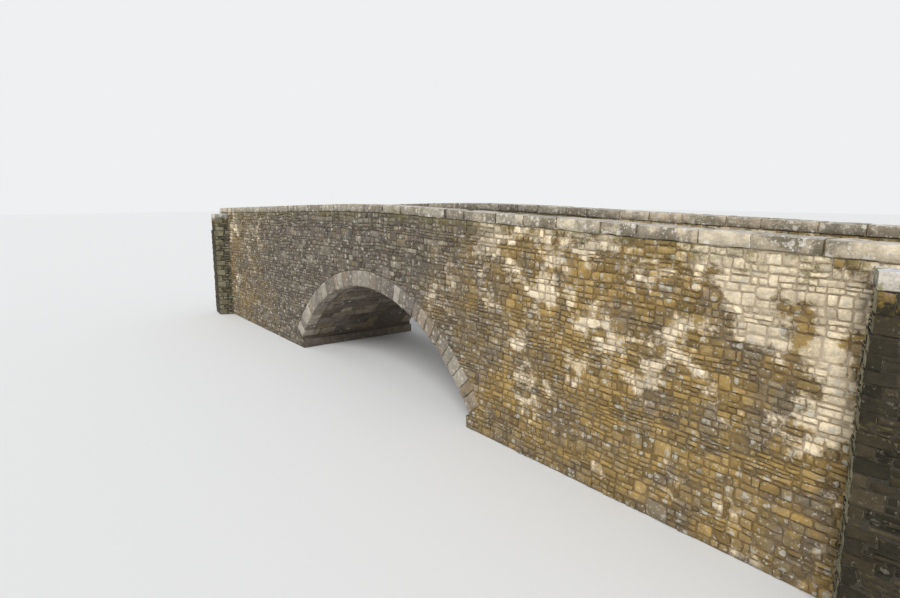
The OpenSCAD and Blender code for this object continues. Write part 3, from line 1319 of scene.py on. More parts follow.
@dataclass
class RoadStones:
    """The stones that stand out of the road's packed gravel."""

    materials: Materials
    count: int = 2100  # How many stones are bedded.
    size: Range = (0.022, 0.1)  # Width of a stone.
    fineness: float = 2.2  # How strongly small stones outnumber large ones.
    sides: tuple[int, int] = (5, 7)  # Least and greatest number of a stone's corners.
    squash: Range = (0.6, 1.0)  # Ratio of a stone's width to its length.
    ragged: Range = (0.8, 1.1)  # Reach of a corner, as a share of the usual one.
    turn: float = 0.2  # How far a corner strays, as a share of the way to the next.
    track_w: float = 0.34  # Half width of a wheel track, where few stones are left.
    swept: float = 0.8  # Share of the stones that are missing there.

    def build(self) -> list[Piece]:
        """Bed the stones, more of them along the parapets and between the tracks."""
        s = SIZES
        rng, tones = sources("road_stones")
        stones = StoneMesh(
            "road_stones", lambda u, v, h: (u, v, s.road_z(u) + h), tones, (0.002, 0.012), sunk=0.01,
            broken=False, bulge=0.005, smallest=0.0)
        side = s.inner_y - self.size[1] / 2
        laid = 0
        while laid < self.count:
            x, y = rng.uniform(-s.half_len, s.half_len), rng.uniform(-side, side)
            if abs(abs(y) - WHEEL_Y) < self.track_w and rng.random() < self.swept:
                continue
            width = self.size[0] + (self.size[1] - self.size[0]) * rng.random() ** self.fineness
            if abs(x) > s.half_len - width:
                continue
            stones.add([(x + u, y + w) for u, w in self.outline(rng, width)])
            laid += 1
        return [stones.finish(self.materials[Finish.PEBBLE], Slot.EARTH)]

    def outline(self, rng: Random, width: float) -> Outline:
        """Shape the outline of one stone round the origin.

        Args:
            rng: Source of its shape.
            width: Its width.

        Returns:
            The outline.
        """
        count = rng.randint(*self.sides)
        start, squash = rng.uniform(0, math.tau), rng.uniform(*self.squash)
        along, across = math.cos(start), math.sin(start)
        corners = []
        for i in range(count):
            angle = math.tau * (i + rng.uniform(-self.turn, self.turn)) / count
            reach = width / 2 * rng.uniform(*self.ragged)
            u, w = reach * math.cos(angle), reach * squash * math.sin(angle)
            corners.append((u * along - w * across, u * across + w * along))
        return corners


@dataclass(frozen=True)
class Wire:
    """An output of a node; to reckon with it adds math nodes to its sheet."""

    sheet: "NodeSheet"  # The sheet that the node is on.
    socket: Socket  # The output.

    def __add__(self, other: "Number") -> "Wire":
        """Add something to it."""
        return self.sheet.maths("ADD", self, other)

    def __sub__(self, other: "Number") -> "Wire":
        """Take something from it."""
        return self.sheet.maths("SUBTRACT", self, other)

    def __rsub__(self, other: float) -> "Wire":
        """Take it from a number."""
        return self.sheet.maths("SUBTRACT", other, self)

    def __mul__(self, other: "Number") -> "Wire":
        """Multiply it."""
        return self.sheet.maths("MULTIPLY", self, other)

    def __truediv__(self, other: "Number") -> "Wire":
        """Divide it."""
        return self.sheet.maths("DIVIDE", self, other)

    def __abs__(self) -> "Wire":
        """Leave out its sign."""
        return self.sheet.maths("ABSOLUTE", self)

    def scaled(self, factor: "Number", plus: "Number") -> "Wire":
        """Multiply it and add something, in one node."""
        return self.sheet.maths("MULTIPLY_ADD", self, factor, plus)

    def spread(self, low: float, high: float, to_low: float = 0.0, to_high: float = 1.0) -> "Wire":
        """Map it smoothly from one range to another.

        Args:
            low: Value that becomes to_low, as do those beyond it.
            high: Value that becomes to_high, as do those beyond it.
            to_low: Result at that end.
            to_high: Result at the other end.

        Returns:
            The mapped value.
        """
        values = {"Value": self, "From Min": low, "From Max": high, "To Min": to_low, "To Max": to_high}
        return self.sheet.read("ShaderNodeMapRange", "Result", values, interpolation_type="SMOOTHSTEP")


Number = Union[Wire, float]
Wires = dict[str, Wire]


class NodeSheet:
    """Adds and joins shader nodes in one node tree."""

    def __init__(self, tree: Graph) -> None:
        """Keep the tree that is worked on."""
        self.tree = tree

    def add(self, kind: str, inputs: Optional[dict] = None, **settings: object) -> Node:
        """Add a node.

        Args:
            kind: The node's type name.
            inputs: Values or wires by input name or number.
            settings: Its own settings.

        Returns:
            The node.
        """
        node = self.tree.nodes.new(kind)
        for name, value in settings.items():
            setattr(node, name, value)
        for name, value in (inputs or {}).items():
            if isinstance(value, Wire):
                self.tree.links.new(value.socket, node.inputs[name])
            else:
                node.inputs[name].default_value = value
        return node

    def read(self, kind: str, output: Union[str, int], inputs: Optional[dict] = None,
             **settings: object) -> Wire:
        """Add a node as add does, and return one of its outputs by name or number."""
        return Wire(self, self.add(kind, inputs, **settings).outputs[output])

    def outputs(self, kind: str, inputs: Optional[dict] = None, **settings: object) -> Wires:
        """Add a node as add does, and return all its outputs by name."""
        node = self.add(kind, inputs, **settings)
        return {socket.name: Wire(self, socket) for socket in node.outputs}

    def group(self, tree: Graph, values: dict) -> Wires:
        """Place a shader group with its own values and return its outputs."""
        return self.outputs("ShaderNodeGroup", values, node_tree=tree)

    def maths(self, operation: str, *values: Number, clamp: bool = False) -> Wire:
        """Add a math node and return its result."""
        return self.read("ShaderNodeMath", 0, dict(enumerate(values)), operation=operation, use_clamp=clamp)

    def vector(self, operation: str, output: str, values: dict) -> Wire:
        """Add a vector math node and return one of its outputs."""
        return self.read("ShaderNodeVectorMath", output, values, operation=operation)

    def parts(self, vector: Wire) -> Wires:
        """Return the X, Y and Z of a vector."""
        return self.outputs("ShaderNodeSeparateXYZ", {"Vector": vector})

    def channels(self, colour: Wire) -> Wires:
        """Return the Red, Green and Blue of a colour."""
        return self.outputs("ShaderNodeSeparateColor", {"Color": colour})

    def stretched(self, vector: Wire, scale: Spot) -> Wire:
        """Scale a vector by a factor for each axis and return it."""
        return self.read("ShaderNodeMapping", "Vector", {"Vector": vector, "Scale": scale})

    def grey(self, value: Number) -> Wire:
        """Return a grey of a value, to multiply a colour with."""
        return self.read("ShaderNodeCombineColor", "Color", {"Red": value, "Green": value, "Blue": value})

    def mix(self, factor: Number, a: Union[Wire, Colour], b: Union[Wire, Colour], blend: str = "MIX") -> Wire:
        """Mix two colours and return the result."""
        return self.read("ShaderNodeMix", 2, {0: factor, 6: a, 7: b}, data_type="RGBA", blend_type=blend)

    def times(self, a: Union[Wire, Colour], b: Union[Wire, Colour]) -> Wire:
        """Multiply two colours and return the result."""
        return self.mix(1.0, a, b, "MULTIPLY")

    def noise(self, vector: Wire, scale: float, detail: float = 4.0, rough: float = 0.55) -> Wire:
        """Add a noise texture and return its factor."""
        values = {"Vector": vector, "Scale": scale, "Detail": detail, "Roughness": rough}
        return self.read("ShaderNodeTexNoise", "Fac", values)

    def palette(self, factor: Wire, colours: Sequence[Colour]) -> Wire:
        """Pick one of some colours by a number from 0 to 1.

        Args:
            factor: The number.
            colours: The colours.

        Returns:
            The colour.
        """
        node = self.add("ShaderNodeValToRGB", {"Fac": factor})
        node.color_ramp.interpolation = "CONSTANT"
        elements = node.color_ramp.elements
        while len(elements) < len(colours):
            elements.new(0.5)
        for i, (element, colour) in enumerate(zip(elements, colours)):
            element.position = i / len(colours)
            element.color = colour
        return Wire(self, node.outputs["Color"])

    def surface(self, base: Wire, rough: Wire, height: Wire, relief: float) -> None:
        """End a dull stony material.

        Args:
            base: Its colour.
            rough: Its roughness.
            height: Height of its relief, from 0 to 1.
            relief: What a height of 1 is, in metres.
        """
        bump = self.read("ShaderNodeBump", "Normal", {"Height": height, "Distance": relief, "Strength": 0.75})
        shader = self.read("ShaderNodeBsdfPrincipled", "BSDF", {
            "Base Color": base, "Roughness": rough, "Normal": bump, "Specular IOR Level": 0.25})
        self.add("ShaderNodeOutputMaterial", {"Surface": shader})

    def end_group(self, results: Wires) -> Graph:
        """Join the results to the group's outputs and return the group."""
        self.add("NodeGroupOutput", results)
        return self.tree


def new_group(name: str, inputs: dict[str, Optional[float]],
              outputs: Sequence[str] = ("Mask",)) -> tuple[NodeSheet, Wires]:
    """Start a shader node group with named sockets.

    Args:
        name: Name of the group.
        inputs: Starting value of each input by name, or None for a vector.
        outputs: Names of the outputs, each a plain number.

    Returns:
        A sheet for the group, and its inputs by name.
    """
    tree = bpy.data.node_groups.new(name, "ShaderNodeTree")
    for label, value in inputs.items():
        kind = "NodeSocketVector" if value is None else "NodeSocketFloat"
        socket = tree.interface.new_socket(name=label, in_out="INPUT", socket_type=kind)
        if value is not None:
            socket.default_value = value
    for label in outputs:
        tree.interface.new_socket(name=label, in_out="OUTPUT", socket_type="NodeSocketFloat")
    sheet = NodeSheet(tree)
    return sheet, sheet.outputs("NodeGroupInput")


def grain_group() -> Graph:
    """Build the group for the grain, pits and thin layers of weathered stone."""
    sheet, given = new_group("stone grain", {"Vector": None, "Scale": 1.0}, ("Tone", "Height"))
    spot = sheet.vector("SCALE", "Vector", {0: given["Vector"], "Scale": given["Scale"]})
    broad = sheet.noise(spot, 5.0, detail=5.0, rough=0.6)
    fine = sheet.noise(spot, 38.0, detail=6.0, rough=0.65)
    pits = sheet.read("ShaderNodeTexVoronoi", "Distance", {"Vector": spot, "Scale": 55.0})
    layers = sheet.noise(sheet.stretched(spot, (2.0, 2.0, 16.0)), 2.0, rough=0.5)
    return sheet.end_group({
        "Tone": broad * 0.45 + fine * 0.35 + layers * 0.2,
        "Height": fine * 0.5 + layers * 0.35 + pits.spread(0.0, 0.35) * 0.2,
    })


def lichen_group() -> Graph:
    """Build the group for round lichen blotches with ragged rims."""
    sheet, given = new_group("lichen blotches", {"Vector": None, "Scale": 6.0, "Amount": 0.5})
    spot = given["Vector"]
    ragged = sheet.read("ShaderNodeTexNoise", "Color", {"Vector": spot, "Scale": 22.0, "Detail": 5.0})
    bend = sheet.vector("SCALE", "Vector", {0: ragged, "Scale": 0.09})
    spot = sheet.vector("ADD", "Vector", {0: spot, 1: bend})
    cells = sheet.outputs("ShaderNodeTexVoronoi", {"Vector": spot, "Scale": given["Scale"]})
    pick = sheet.channels(cells["Color"])["Red"]
    wanted = sheet.maths("LESS_THAN", pick, given["Amount"])
    disc = (0.42 - pick * 0.18 - cells["Distance"]).spread(0.0, 0.12)
    return sheet.end_group({"Mask": sheet.maths("MULTIPLY", disc, wanted, clamp=True)})


def film_group() -> Graph:
    """Build the group for the green-brown film that grows under the coping and on ledges."""
    sheet, given = new_group("moss film", {
        "Vector": None, "Normal": None, "Top": 5.0, "Depth": 0.8, "Upper": 0.75, "Ledges": 0.6,
        "Patches": 0.3})
    place = sheet.parts(given["Vector"])
    under = given["Top"] - abs(place["X"]) / SIZES.ramp_run - place["Z"]
    near_top = sheet.maths("SUBTRACT", 1.0, under / given["Depth"], clamp=True)
    ledge = sheet.parts(given["Normal"])["Z"].spread(0.25, 0.8) * given["Ledges"]
    blots = sheet.noise(given["Vector"], 2.2, detail=6.0, rough=0.65)
    fine = sheet.noise(given["Vector"], 24.0, rough=0.7)
    wanted = near_top * given["Upper"] + ledge + blots.spread(0.52, 0.7) * given["Patches"]
    ragged = wanted + (fine - 0.5) * 0.9 + (blots - 0.5) * 1.1
    return sheet.end_group({"Mask": ragged.spread(0.35, 0.85)})


def damp_group() -> Graph:
    """Build the group for the damp foot of the walls and the runs of dirt down them."""
    sheet, given = new_group("damp and runs", {"Vector": None, "Water Line": 0.6, "Runs": 0.5})
    wave = sheet.noise(given["Vector"], 1.6, detail=5.0, rough=0.6) * 1.1
    foot = (given["Water Line"] + wave - sheet.parts(given["Vector"])["Z"]).spread(0.1, 1.1)
    streaks = sheet.noise(sheet.stretched(given["Vector"], (2.6, 2.6, 0.28)), 1.0, detail=5.0, rough=0.65)
    runs = streaks.spread(0.5, 0.72) * given["Runs"]
    return sheet.end_group({"Mask": sheet.maths("MAXIMUM", foot, runs, clamp=True)})


# Centres and reaches of the pale patches that can be made out on the near face: pale bare stone with painted
# sunlight on it.
SUN_PATCHES: tuple[tuple[Spot, float], ...] = (
    ((11.6, -2.4, 4.45), 0.6), ((12.95, -2.4, 4.2), 0.5), ((11.7, -2.4, 3.7), 0.4), ((6.6, -2.4, 2.65), 0.5),
)


def drift_group() -> Graph:
    """Build the group for ochre drifts and pale patches towards the ends, more on the right; both are partly
    painted sunlight.
    """
    sheet, given = new_group("end drift", {"Vector": None}, ("Ochre", "Bleach"))
    spot, place = given["Vector"], sheet.parts(given["Vector"])
    stray = sheet.noise(spot, 0.5, rough=0.6) * 8.0
    right = (stray + place["X"]).spread(5.0, 12.0)
    left = (stray - place["X"]).spread(9.5, 16.5, 0.0, 0.6)
    end = SIZES.half_len
    on_face = abs(place["X"]).spread(end - 0.02, end + 0.01, 1.0, 0.5)
    zone = sheet.maths("MAXIMUM", right, left) * on_face
    # Ochre drift: partly ochre moss and clay, partly painted sunlight.
    ochre = zone * sheet.noise(spot, 1.5, detail=6.0, rough=0.66).spread(0.34, 0.6, 0.38, 1.0)
    # Pale patches: pale bare stone with painted sunlight, more of them higher up and towards the right end.
    high = place["Z"].scaled(0.026, sheet.noise(spot, 0.9, detail=7.0, rough=0.7))
    high = high + place["X"].spread(10.0, 12.5, 0.0, 0.03)
    for centre, reach in SUN_PATCHES:
        away = sheet.vector("DISTANCE", "Value", {0: spot, 1: centre})
        high = high + away.spread(0.3 * reach, reach, 0.14, 0.0)
    return sheet.end_group({"Ochre": ochre, "Bleach": high.spread(0.575, 0.70) * zone})


@dataclass
class EffectGroups:
    """The shader groups that the materials share."""

    grain: Graph = field(default_factory=grain_group)
    lichen: Graph = field(default_factory=lichen_group)
    film: Graph = field(default_factory=film_group)
    damp: Graph = field(default_factory=damp_group)
    drift: Graph = field(default_factory=drift_group)


def start_material(name: str) -> tuple[Material, NodeSheet]:
    """Return a new material without nodes, and a sheet for its nodes."""
    material = bpy.data.materials.new(name)
    material.use_nodes = True
    material.node_tree.nodes.clear()
    return material, NodeSheet(material.node_tree)


def darker(colour: Colour, share: float) -> Colour:
    """Return a colour with its three channels multiplied by a share."""
    return tuple(share * channel for channel in colour[:3]) + (1,)


@dataclass(frozen=True)
class StoneNodes:
    """The nodes that the steps of a stone finish share."""

    sheet: NodeSheet  # The sheet that they are on.
    spot: Wire  # Place in the bridge's frame.
    place: Wires  # Its three coordinates.
    normal: Wire  # Which way the surface looks.
    picks: Wires  # The stone's hue and value and the nearness to its middle, as Red, Green and Blue.
    grey: Wire  # How light the stone is, as a grey.


@dataclass(frozen=True)
class StoneFinish:
    """Finish of one kind of stone."""

    name: str  # Name of the material.
    palette: tuple[Colour, ...]  # Colours that single stones take.
    warm: Colour = (0.51, 0.335, 0.105, 1)  # Ochre that stones turn to towards the ends: partly ochre moss and clay, partly painted sunlight.
    warm_share: float = 0.88  # How far they turn.
    pale: Colour = (0.90, 0.76, 0.54, 1)  # Pale colour of patches towards the ends: pale bare stone with painted sunlight on it.
    pale_share: float = 0.85  # How far those pale patches are painted.
    wet: Colour = (0.075, 0.062, 0.045, 1)  # Colour of the damp foot and of the dirt runs.
    wet_share: float = 0.62  # How far they hide the stone.
    water_line: float = 0.15  # Height that the damp reaches.
    lichen: Colour = (0.54, 0.52, 0.44, 1)  # Colour of the pale lichen.
    lichen_scales: Pair = (6.5, 19.0)  # How closely its large and its small spots grow.
    lichen_amount: float = 0.34  # Share of them that are grown.
    lichen_cover: float = 0.74  # How far a spot hides the stone.
    contrast: float = 0.44  # How much lighter the lightest stones are than the darkest.
    film: Colour = (0.10, 0.095, 0.032, 1)  # Colour of the moss film.
    film_light: Colour = (0.17, 0.14, 0.05, 1)  # Colour of its lighter spots.
    film_share: float = 0.8  # How far it hides the stone.
    film_depth: float = 0.55  # How far it reaches down from the coping.
    upper: float = 0.5  # Its strength under the coping.
    ledges: float = 0.3  # Its strength on faces that look up.
    patches: float = 0.2  # Its strength in patches elsewhere.
    runs: float = 0.45  # Strength of the dirt runs.
    grain: float = 1.0  # Scale of the grain.
    bump: float = 0.012  # Relief of the grain, in metres.
    rough: float = 0.88  # Roughness of the dry stone.
    painted_returns: Optional[Colour] = None  # Painted light and shade: colour of faces that look along the bridge, or None.
    painted_tops: Optional[Colour] = None  # Painted light: colour of faces that look up, lit from above, or None.
    band: Optional[Colour] = None  # Colour under the pier's cap, or None.
    # Dark and light colour of the moss on that band.
    tufts: tuple[Colour, Colour] = ((0.085, 0.062, 0.016, 1), (0.25, 0.165, 0.04, 1))

    def make(self, groups: EffectGroups) -> Material:
        """Build the material.

        Args:
            groups: The shared effect groups.

        Returns:
            The material.
        """
        material, sheet = start_material(self.name)
        coords = sheet.outputs("ShaderNodeTexCoord")
        spot, normal = coords["Object"], coords["Normal"]
        picks = sheet.channels(sheet.read("ShaderNodeAttribute", "Color", attribute_name="tone"))
        grain = sheet.group(groups.grain, {"Vector": spot, "Scale": self.grain})
        grey = sheet.grey(self.lightness(picks, grain["Tone"]))
        nodes = StoneNodes(sheet, spot, sheet.parts(spot), normal, picks, grey)
        base = sheet.times(sheet.palette(picks["Red"], self.palette), grey)
        # Ochre drifts and pale patches, partly painted sunlight.
        base = self.drifts(nodes, sheet.group(groups.drift, {"Vector": spot}), base)
        if self.band:
            base = self.under_cap(nodes, base)
        # Painted light and shade on the tops and the returns.
        if self.painted_tops or self.painted_returns:
            base = self.painted_side_light(nodes, base)
        damp = sheet.group(
            groups.damp, {"Vector": spot, "Water Line": self.water_line, "Runs": self.runs})["Mask"]
        base = sheet.mix(damp * self.wet_share, base, self.wet)
        spots = sheet.maths("MAXIMUM", *(
            sheet.group(groups.lichen, {"Vector": spot, "Scale": scale, "Amount": self.lichen_amount})["Mask"]
            for scale in self.lichen_scales))
        cover = grain["Tone"].spread(0.36, 0.56, 0.2 * self.lichen_cover, self.lichen_cover)
        grown = spots * cover
        base = sheet.mix(grown, base, self.lichen)
        film = sheet.group(groups.film, {
            "Vector": spot, "Normal": normal, "Top": SIZES.parapet_z(0), "Depth": self.film_depth,
            "Upper": self.upper, "Ledges": self.ledges, "Patches": self.patches})["Mask"]
        green = sheet.mix(sheet.noise(spot, 17.0), self.film, self.film_light)
        base = sheet.mix(film * self.film_share, base, green)
        height = grain["Height"] + film * 0.4 + grown * 0.25
        sheet.surface(base, self.rough - damp * 0.3, height, self.bump)
        return material

    def lightness(self, picks: Wires, grain: Wire) -> Wire:
        """Return how light the stone is: its own value, its grain, and dirt along its rim."""
        own = picks["Green"].scaled(self.contrast, 0.97 - self.contrast / 2)
        return own * grain.spread(0.3, 0.72, 0.6, 1.34) * picks["Blue"].spread(0.0, 0.7, 0.72, 1.0)

    def drifts(self, nodes: StoneNodes, drift: Wires, base: Wire) -> Wire:
        """Turn the stones ochre in drifts towards the ends, partly as painted sunlight, and paint pale sunlit
        patches there.

        Args:
            nodes: The nodes that the steps share.
            drift: Outputs of the drift group.
            base: The colour so far.

        Returns:
            The new colour.
        """
        sheet, picks = nodes.sheet, nodes.picks
        own = picks["Green"] - 0.5
        # Ochre drift: partly ochre moss and clay, partly painted sunlight.
        warm = sheet.times(sheet.mix(picks["Red"], self.warm, darker(self.warm, 0.5)), nodes.grey)
        ochre = own.scaled(-0.3, drift["Ochre"]).spread(0.0, 1.1)
        base = sheet.mix(ochre * self.warm_share, base, warm)
        # Pale patches: pale bare stone with painted sunlight on it.
        sun_patch = own.scaled(0.4, drift["Bleach"]).spread(0.1, 0.95)
        return sheet.mix(sun_patch * self.pale_share, base, sheet.times(self.pale, nodes.grey))

    def painted_side_light(self, nodes: StoneNodes, base: Wire) -> Wire:
        """Paint light and shade on the faces that look up, and on those that look along the bridge short of
        its ends.

        Args:
            nodes: The nodes that the steps share.
            base: The colour so far.

        Returns:
            The new colour.
        """
        sheet = nodes.sheet
        facing = sheet.parts(nodes.normal)
        uneven = sheet.noise(nodes.spot, 3.0).spread(0.3, 0.5, 0.45, 0.95)
        if self.painted_tops:
            # Painted light on faces that look up.
            up = facing["Z"].spread(0.5, 0.85) * uneven
            base = sheet.mix(up, base, sheet.times(self.painted_tops, nodes.grey))
        if self.painted_returns:
            # Painted light and shade on faces that look along the bridge.
            end = SIZES.half_len
            inner = abs(nodes.place["X"]).spread(end - 0.06, end - 0.03, 1.0, 0.0)
            along = abs(facing["X"]).spread(0.55, 0.8) * inner * uneven
            base = sheet.mix(along, base, sheet.times(self.painted_returns, nodes.grey))
        return base

    def under_cap(self, nodes: StoneNodes, base: Wire) -> Wire:
        """Paint the stones under a pier's cap red-brown, with cushions of orange-brown moss.

        Args:
            nodes: The nodes that the steps share.
            base: The colour so far.

        Returns:
            The new colour.
        """
        sheet, spot = nodes.sheet, nodes.spot
        top = node_box("pier_near_right")[1].z
        under = sheet.noise(spot, 4.0).scaled(0.12, nodes.place["Z"])
        band = under.spread(top - 0.09, top + 0.03) * 0.85
        base = sheet.mix(band, base, sheet.times(self.band, nodes.grey))
        tufts = sheet.noise(spot, 30.0, detail=6.0, rough=0.7)
        grown = tufts.scaled(0.3, sheet.noise(spot, 2.6, detail=6.0, rough=0.7)).spread(0.62, 0.74)
        moss = grown * under.spread(top - 0.4, top - 0.12)
        return sheet.mix(moss * 0.9, base, sheet.mix(tufts.spread(0.35, 0.65), *self.tufts))


@dataclass(frozen=True)
class EarthFinish:
    """Finish of the mortar and of the road's packed gravel."""

    name: str  # Name of the material.
    dark: Colour  # Colour in the hollows.
    light: Colour  # Colour on the high grains.
    grit: float = 60.0  # Scale of the grit.
    bump: float = 0.01  # Relief in metres.
    track: float = 0.0  # How much two wheel tracks show, 0 for none.
    ochre: Colour = (1.9, 1.48, 0.70, 1)  # What the colour is multiplied by where it turns ochre; it lightens the colour as painted sunlight.
    warm_share: float = 0.0  # How far it turns ochre towards the ends, partly as painted sunlight.
    # Darkest and lightest colour of the pale patches on the wall, painted sunlight on pale stone.
    pale: tuple[Colour, Colour] = ((0.40, 0.32, 0.22, 1), (0.74, 0.62, 0.46, 1))
    pale_share: float = 0.0  # How far those painted sunlit patches show.
    wet: Colour = (0.06, 0.05, 0.036, 1)  # Colour of the damp foot and of the dirt runs.
    wet_share: float = 0.6  # How far they hide the rest.
    water_line: float = 0.15  # Height that the damp reaches.
    runs: float = 0.35  # Strength of the dirt runs.

    def make(self, groups: EffectGroups) -> Material:
        """Build the material.

        Args:
            groups: The shared effect groups.

        Returns:
            The material.
        """
        material, sheet = start_material(self.name)
        spot = sheet.read("ShaderNodeTexCoord", "Object")
        broad = sheet.noise(spot, 1.4, detail=5.0, rough=0.6)
        fine = sheet.noise(spot, self.grit, detail=8.0, rough=0.75)
        stones = sheet.outputs("ShaderNodeTexVoronoi", {"Vector": spot, "Scale": self.grit})
        grains = stones["Distance"].spread(0.1, 0.5, 1.0, 0.0)
        mixed = fine.scaled(0.55, sheet.channels(stones["Color"])["Red"] * 0.12)
        mixed = broad.scaled(0.4, grains.scaled(0.12, mixed))
        raised = mixed.spread(0.3, 0.85)
        base = sheet.mix(raised, self.dark, self.light)
        if self.track:
            base = self.worn_tracks(sheet, spot, base)
        # Ochre drift and pale patches towards the ends, partly painted sunlight.
        drift = sheet.group(groups.drift, {"Vector": spot})
        base = sheet.mix(drift["Ochre"] * self.warm_share, base, sheet.times(base, self.ochre))
        sun_patch = drift["Bleach"].spread(0.05, 0.8) * self.pale_share
        base = sheet.mix(sun_patch, base, sheet.mix(raised, *self.pale))
        damp = sheet.group(
            groups.damp, {"Vector": spot, "Water Line": self.water_line, "Runs": self.runs})["Mask"]
        base = sheet.mix(damp * self.wet_share, base, self.wet)
        sheet.surface(base, mixed.spread(0.2, 0.9, 0.98, 0.86), grains.scaled(0.5, fine), self.bump)
        return material

    def worn_tracks(self, sheet: NodeSheet, spot: Wire, base: Wire) -> Wire:
        """Darken the strips between two wheel tracks and along the parapets."""
        across = abs(sheet.noise(spot, 0.4).scaled(0.4, sheet.parts(spot)["Y"]))
        edge = abs(across - WHEEL_Y).spread(0.2, 0.62) * self.track
        blots = sheet.noise(spot, 5.0, detail=6.0, rough=0.7).spread(0.35, 0.65, 0.4, 1.0)
        return sheet.mix(edge * blots, base, darker(self.dark, 0.55))


RUBBLE_COLOURS = (
    (0.104, 0.087, 0.067, 1), (0.146, 0.124, 0.094, 1), (0.193, 0.164, 0.119, 1), (0.166, 0.136, 0.115, 1),
    (0.202, 0.156, 0.103, 1), (0.141, 0.126, 0.106, 1), (0.221, 0.194, 0.147, 1), (0.263, 0.226, 0.171, 1),
    (0.132, 0.104, 0.084, 1),
)
RING_COLOURS = (
    (0.24, 0.205, 0.165, 1), (0.30, 0.265, 0.215, 1), (0.21, 0.175, 0.155, 1), (0.27, 0.22, 0.165, 1),
    (0.34, 0.305, 0.25, 1),
)
COPING_COLOURS = (
    (0.25, 0.22, 0.165, 1), (0.33, 0.295, 0.225, 1), (0.38, 0.345, 0.27, 1), (0.28, 0.24, 0.182, 1),
)
CAP_COLOURS = ((0.57, 0.515, 0.435, 1), (0.63, 0.575, 0.495, 1))
# Dark brown stones of the piers' fronts, darkened further as painted shade.
PIER_SHADED_COLOURS = (
    (0.026, 0.022, 0.012, 1), (0.042, 0.034, 0.018, 1), (0.056, 0.043, 0.023, 1), (0.034, 0.028, 0.016, 1),
    (0.070, 0.053, 0.030, 1),
)


class Finish(Enum):
    """The bridge's finishes; each is built once, as a material that its pieces share."""

    RUBBLE = StoneFinish("rubble stone", RUBBLE_COLOURS)
    VAULT = StoneFinish(
        "vault stone", RUBBLE_COLOURS, warm_share=0.2, pale_share=0.1, lichen_amount=0.06, upper=0.0,
        patches=0.15)
    RING = StoneFinish("ring stone", RING_COLOURS, warm_share=0.35, pale_share=0.3, upper=0.0)
    # Coping: end faces in the open joints darkened as painted shade; tops lightened as painted light.
    COPING = StoneFinish(
        "dressed coping", COPING_COLOURS, warm_share=0.12, pale_share=0.5, upper=0.0,
        lichen=(0.70, 0.66, 0.58, 1), lichen_amount=0.66, lichen_cover=0.88, ledges=0.28, patches=0.46,
        runs=0.6, painted_returns=(0.11, 0.095, 0.068, 1), painted_tops=(0.46, 0.42, 0.36, 1))
    # Caps: side faces darkened as painted shade; tops pale bluish as painted skylight.
    CAP = StoneFinish(
        "pale cap stone", CAP_COLOURS, warm_share=0.0, pale_share=0.0, contrast=0.2, upper=0.0,
        lichen=(0.72, 0.69, 0.62, 1), film=(0.24, 0.25, 0.06, 1), ledges=0.0, patches=0.95, runs=0.3,
        painted_returns=(0.20, 0.195, 0.15, 1), painted_tops=(0.60, 0.61, 0.64, 1))
    PEBBLE = StoneFinish(
        "road stone", RUBBLE_COLOURS, warm_share=0.1, pale_share=0.0, lichen_amount=0.0, upper=0.0,
        ledges=0.0, patches=0.1, runs=0.2)
    QUOIN = StoneFinish("pale quoin", RING_COLOURS, warm_share=0.3, film_depth=0.4)
    # Piers: stones and lichen darkened as painted shade; faces that look along the bridge lightened as
    # painted light.
    PIER = StoneFinish(
        "dark bedded stone", PIER_SHADED_COLOURS, warm_share=0.0, pale_share=0.0, lichen=(0.19, 0.175, 0.13, 1),
        lichen_amount=0.12, lichen_cover=0.5, upper=0.3, patches=0.4, painted_returns=(0.225, 0.207, 0.132, 1),
        band=(0.40, 0.27, 0.17, 1))
    MORTAR = EarthFinish(
        "lime mortar", (0.085, 0.07, 0.052, 1), (0.235, 0.195, 0.15, 1), warm_share=0.8, pale_share=0.9)
    # Mortar of the piers' cores, darkened as painted shade.
    DARK_MORTAR = EarthFinish("dark mortar", (0.03, 0.026, 0.018, 1), (0.085, 0.072, 0.05, 1))
    GRAVEL = EarthFinish(
        "packed gravel", (0.12, 0.092, 0.068, 1), (0.33, 0.275, 0.22, 1), grit=52.0, bump=0.014, track=0.75)


def make_materials() -> Materials:
    """Build the material of each finish."""
    groups = EffectGroups()
    return {finish: finish.value.make(groups) for finish in Finish}


def dress_frame(materials: Materials) -> None:
    """Give the frame's own nodes their materials."""
    # The piers' cores take the mortar in painted shade.
    special = {f"pier_{corner_name(face, side)}": Finish.DARK_MORTAR for face in Face for side in Side}
    special["roadway"] = Finish.GRAVEL
    for name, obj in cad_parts.items():
        obj.data.materials.clear()
        obj.data.materials.append(materials[special.get(name, Finish.MORTAR)])


@dataclass(frozen=True)
class Sun:
    """A distant lamp."""

    name: str  # Name of the lamp.
    turn: float  # Degrees that it is turned in plan.
    tilt: float  # Degrees that it is tilted from straight down.
    width: float  # Degrees that it looks wide.
    power: float  # Its strength.

    def build(self) -> None:
        """Make the lamp."""
        lamp = bpy.data.lights.new(self.name, "SUN")
        lamp.energy = self.power
        lamp.angle = math.radians(self.width)
        link_new(self.name, lamp).rotation_euler = (math.radians(self.tilt), 0, math.radians(self.turn))


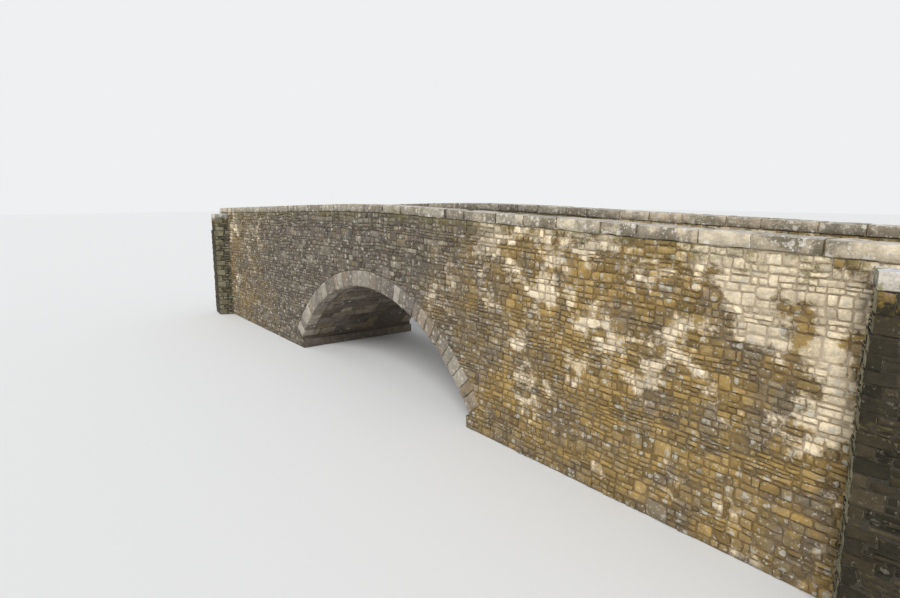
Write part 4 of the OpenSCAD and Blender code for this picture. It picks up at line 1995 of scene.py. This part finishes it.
@dataclass
class Studio:
    """Floor, light and camera."""

    eye: Spot = (15.94, -11.23, 5.67)  # Where the photograph was taken from.
    azimuth: float = 53.0  # Direction of view in plan, in degrees, from +Y towards -X.
    pitch: float = 9.83  # Degrees that the view looks down.
    lens: float = 24.0  # Focal length in millimetres.
    sensor: float = 36.0  # Width of the frame in millimetres.
    sight: float = 500.0  # How far the camera sees.
    floor_size: float = 400.0  # Length of the floor's sides.
    floor_z: float = -0.002  # Height of the floor.
    floor_colour: Colour = (0.72, 0.72, 0.71, 1)  # Its colour.
    floor_rough: float = 0.9  # Its roughness.
    # A broad key light and a weak fill.
    suns: tuple[Sun, ...] = (
        Sun("key", turn=38, tilt=48, width=22, power=2.1),
        Sun("fill", turn=-75, tilt=55, width=60, power=0.55),
    )
    sky: tuple[Colour, float] = ((0.94, 0.96, 1.0, 1), 0.58)  # Colour and strength of the even light.
    # Colour and strength of what the camera sees instead.
    backdrop: tuple[Colour, float] = ((0.86, 0.87, 0.88, 1), 1.0)

    def build(self) -> None:
        """Make the floor, the lamps, the world light and the camera."""
        self.floor()
        for sun in self.suns:
            sun.build()
        self.world()
        self.camera()

    def floor(self) -> None:
        """Make the plain pale floor."""
        deselect_all()
        bpy.ops.mesh.primitive_plane_add(size=self.floor_size, location=(0, 0, self.floor_z))
        floor = bpy.context.object
        floor.name = "studio_floor"
        material, sheet = start_material("pale floor")
        values = {"Base Color": self.floor_colour, "Roughness": self.floor_rough}
        shader = sheet.read("ShaderNodeBsdfPrincipled", "BSDF", values)
        sheet.add("ShaderNodeOutputMaterial", {"Surface": shader})
        floor.data.materials.append(material)

    def world(self) -> None:
        """Light the scene evenly, and show a pale backdrop to the camera."""
        world = bpy.data.worlds.new("studio")
        world.use_nodes = True
        world.node_tree.nodes.clear()
        sheet = NodeSheet(world.node_tree)
        path = sheet.outputs("ShaderNodeLightPath")
        seen = sheet.maths("MAXIMUM", path["Is Camera Ray"], path["Is Glossy Ray"])
        soft, shown = (
            sheet.read("ShaderNodeBackground", 0, {"Color": colour, "Strength": strength})
            for colour, strength in (self.sky, self.backdrop))
        mixed = sheet.read("ShaderNodeMixShader", 0, {0: seen, 1: soft, 2: shown})
        sheet.add("ShaderNodeOutputWorld", {"Surface": mixed})
        bpy.context.scene.world = world

    def camera(self) -> None:
        """Stand the camera where the photograph was taken."""
        lens = bpy.data.cameras.new("view")
        lens.lens = self.lens
        lens.sensor_width = self.sensor
        lens.clip_end = self.sight
        camera = link_new("view", lens)
        camera.location = self.eye
        camera.rotation_euler = (math.radians(90 - self.pitch), 0, math.radians(self.azimuth))
        bpy.context.scene.camera = camera


def report(pieces: Iterable[Piece]) -> None:
    """Log the number of triangles of each new piece."""
    for piece in pieces:
        LOG.info("%s: %d triangles", piece.name, sum(len(face.vertices) - 2 for face in piece.data.polygons))


def main() -> None:
    """Build the bridge's looks piece by piece."""
    logging.basicConfig(level=logging.INFO, format="%(name)s: %(message)s")
    bpy.context.scene.view_settings.view_transform = "Standard"
    materials = make_materials()
    dress_frame(materials)
    report(WallStones(materials).build())
    report(DressedStones(materials).build())
    hewn = HewnBlocks()
    report(Quoins(materials, hewn).build())
    report(FootingCourse(materials, hewn).build())
    hewn.remove_models()
    report(RoadStones(materials).build())
    Studio().build()


if __name__ == "__main__":
    main()
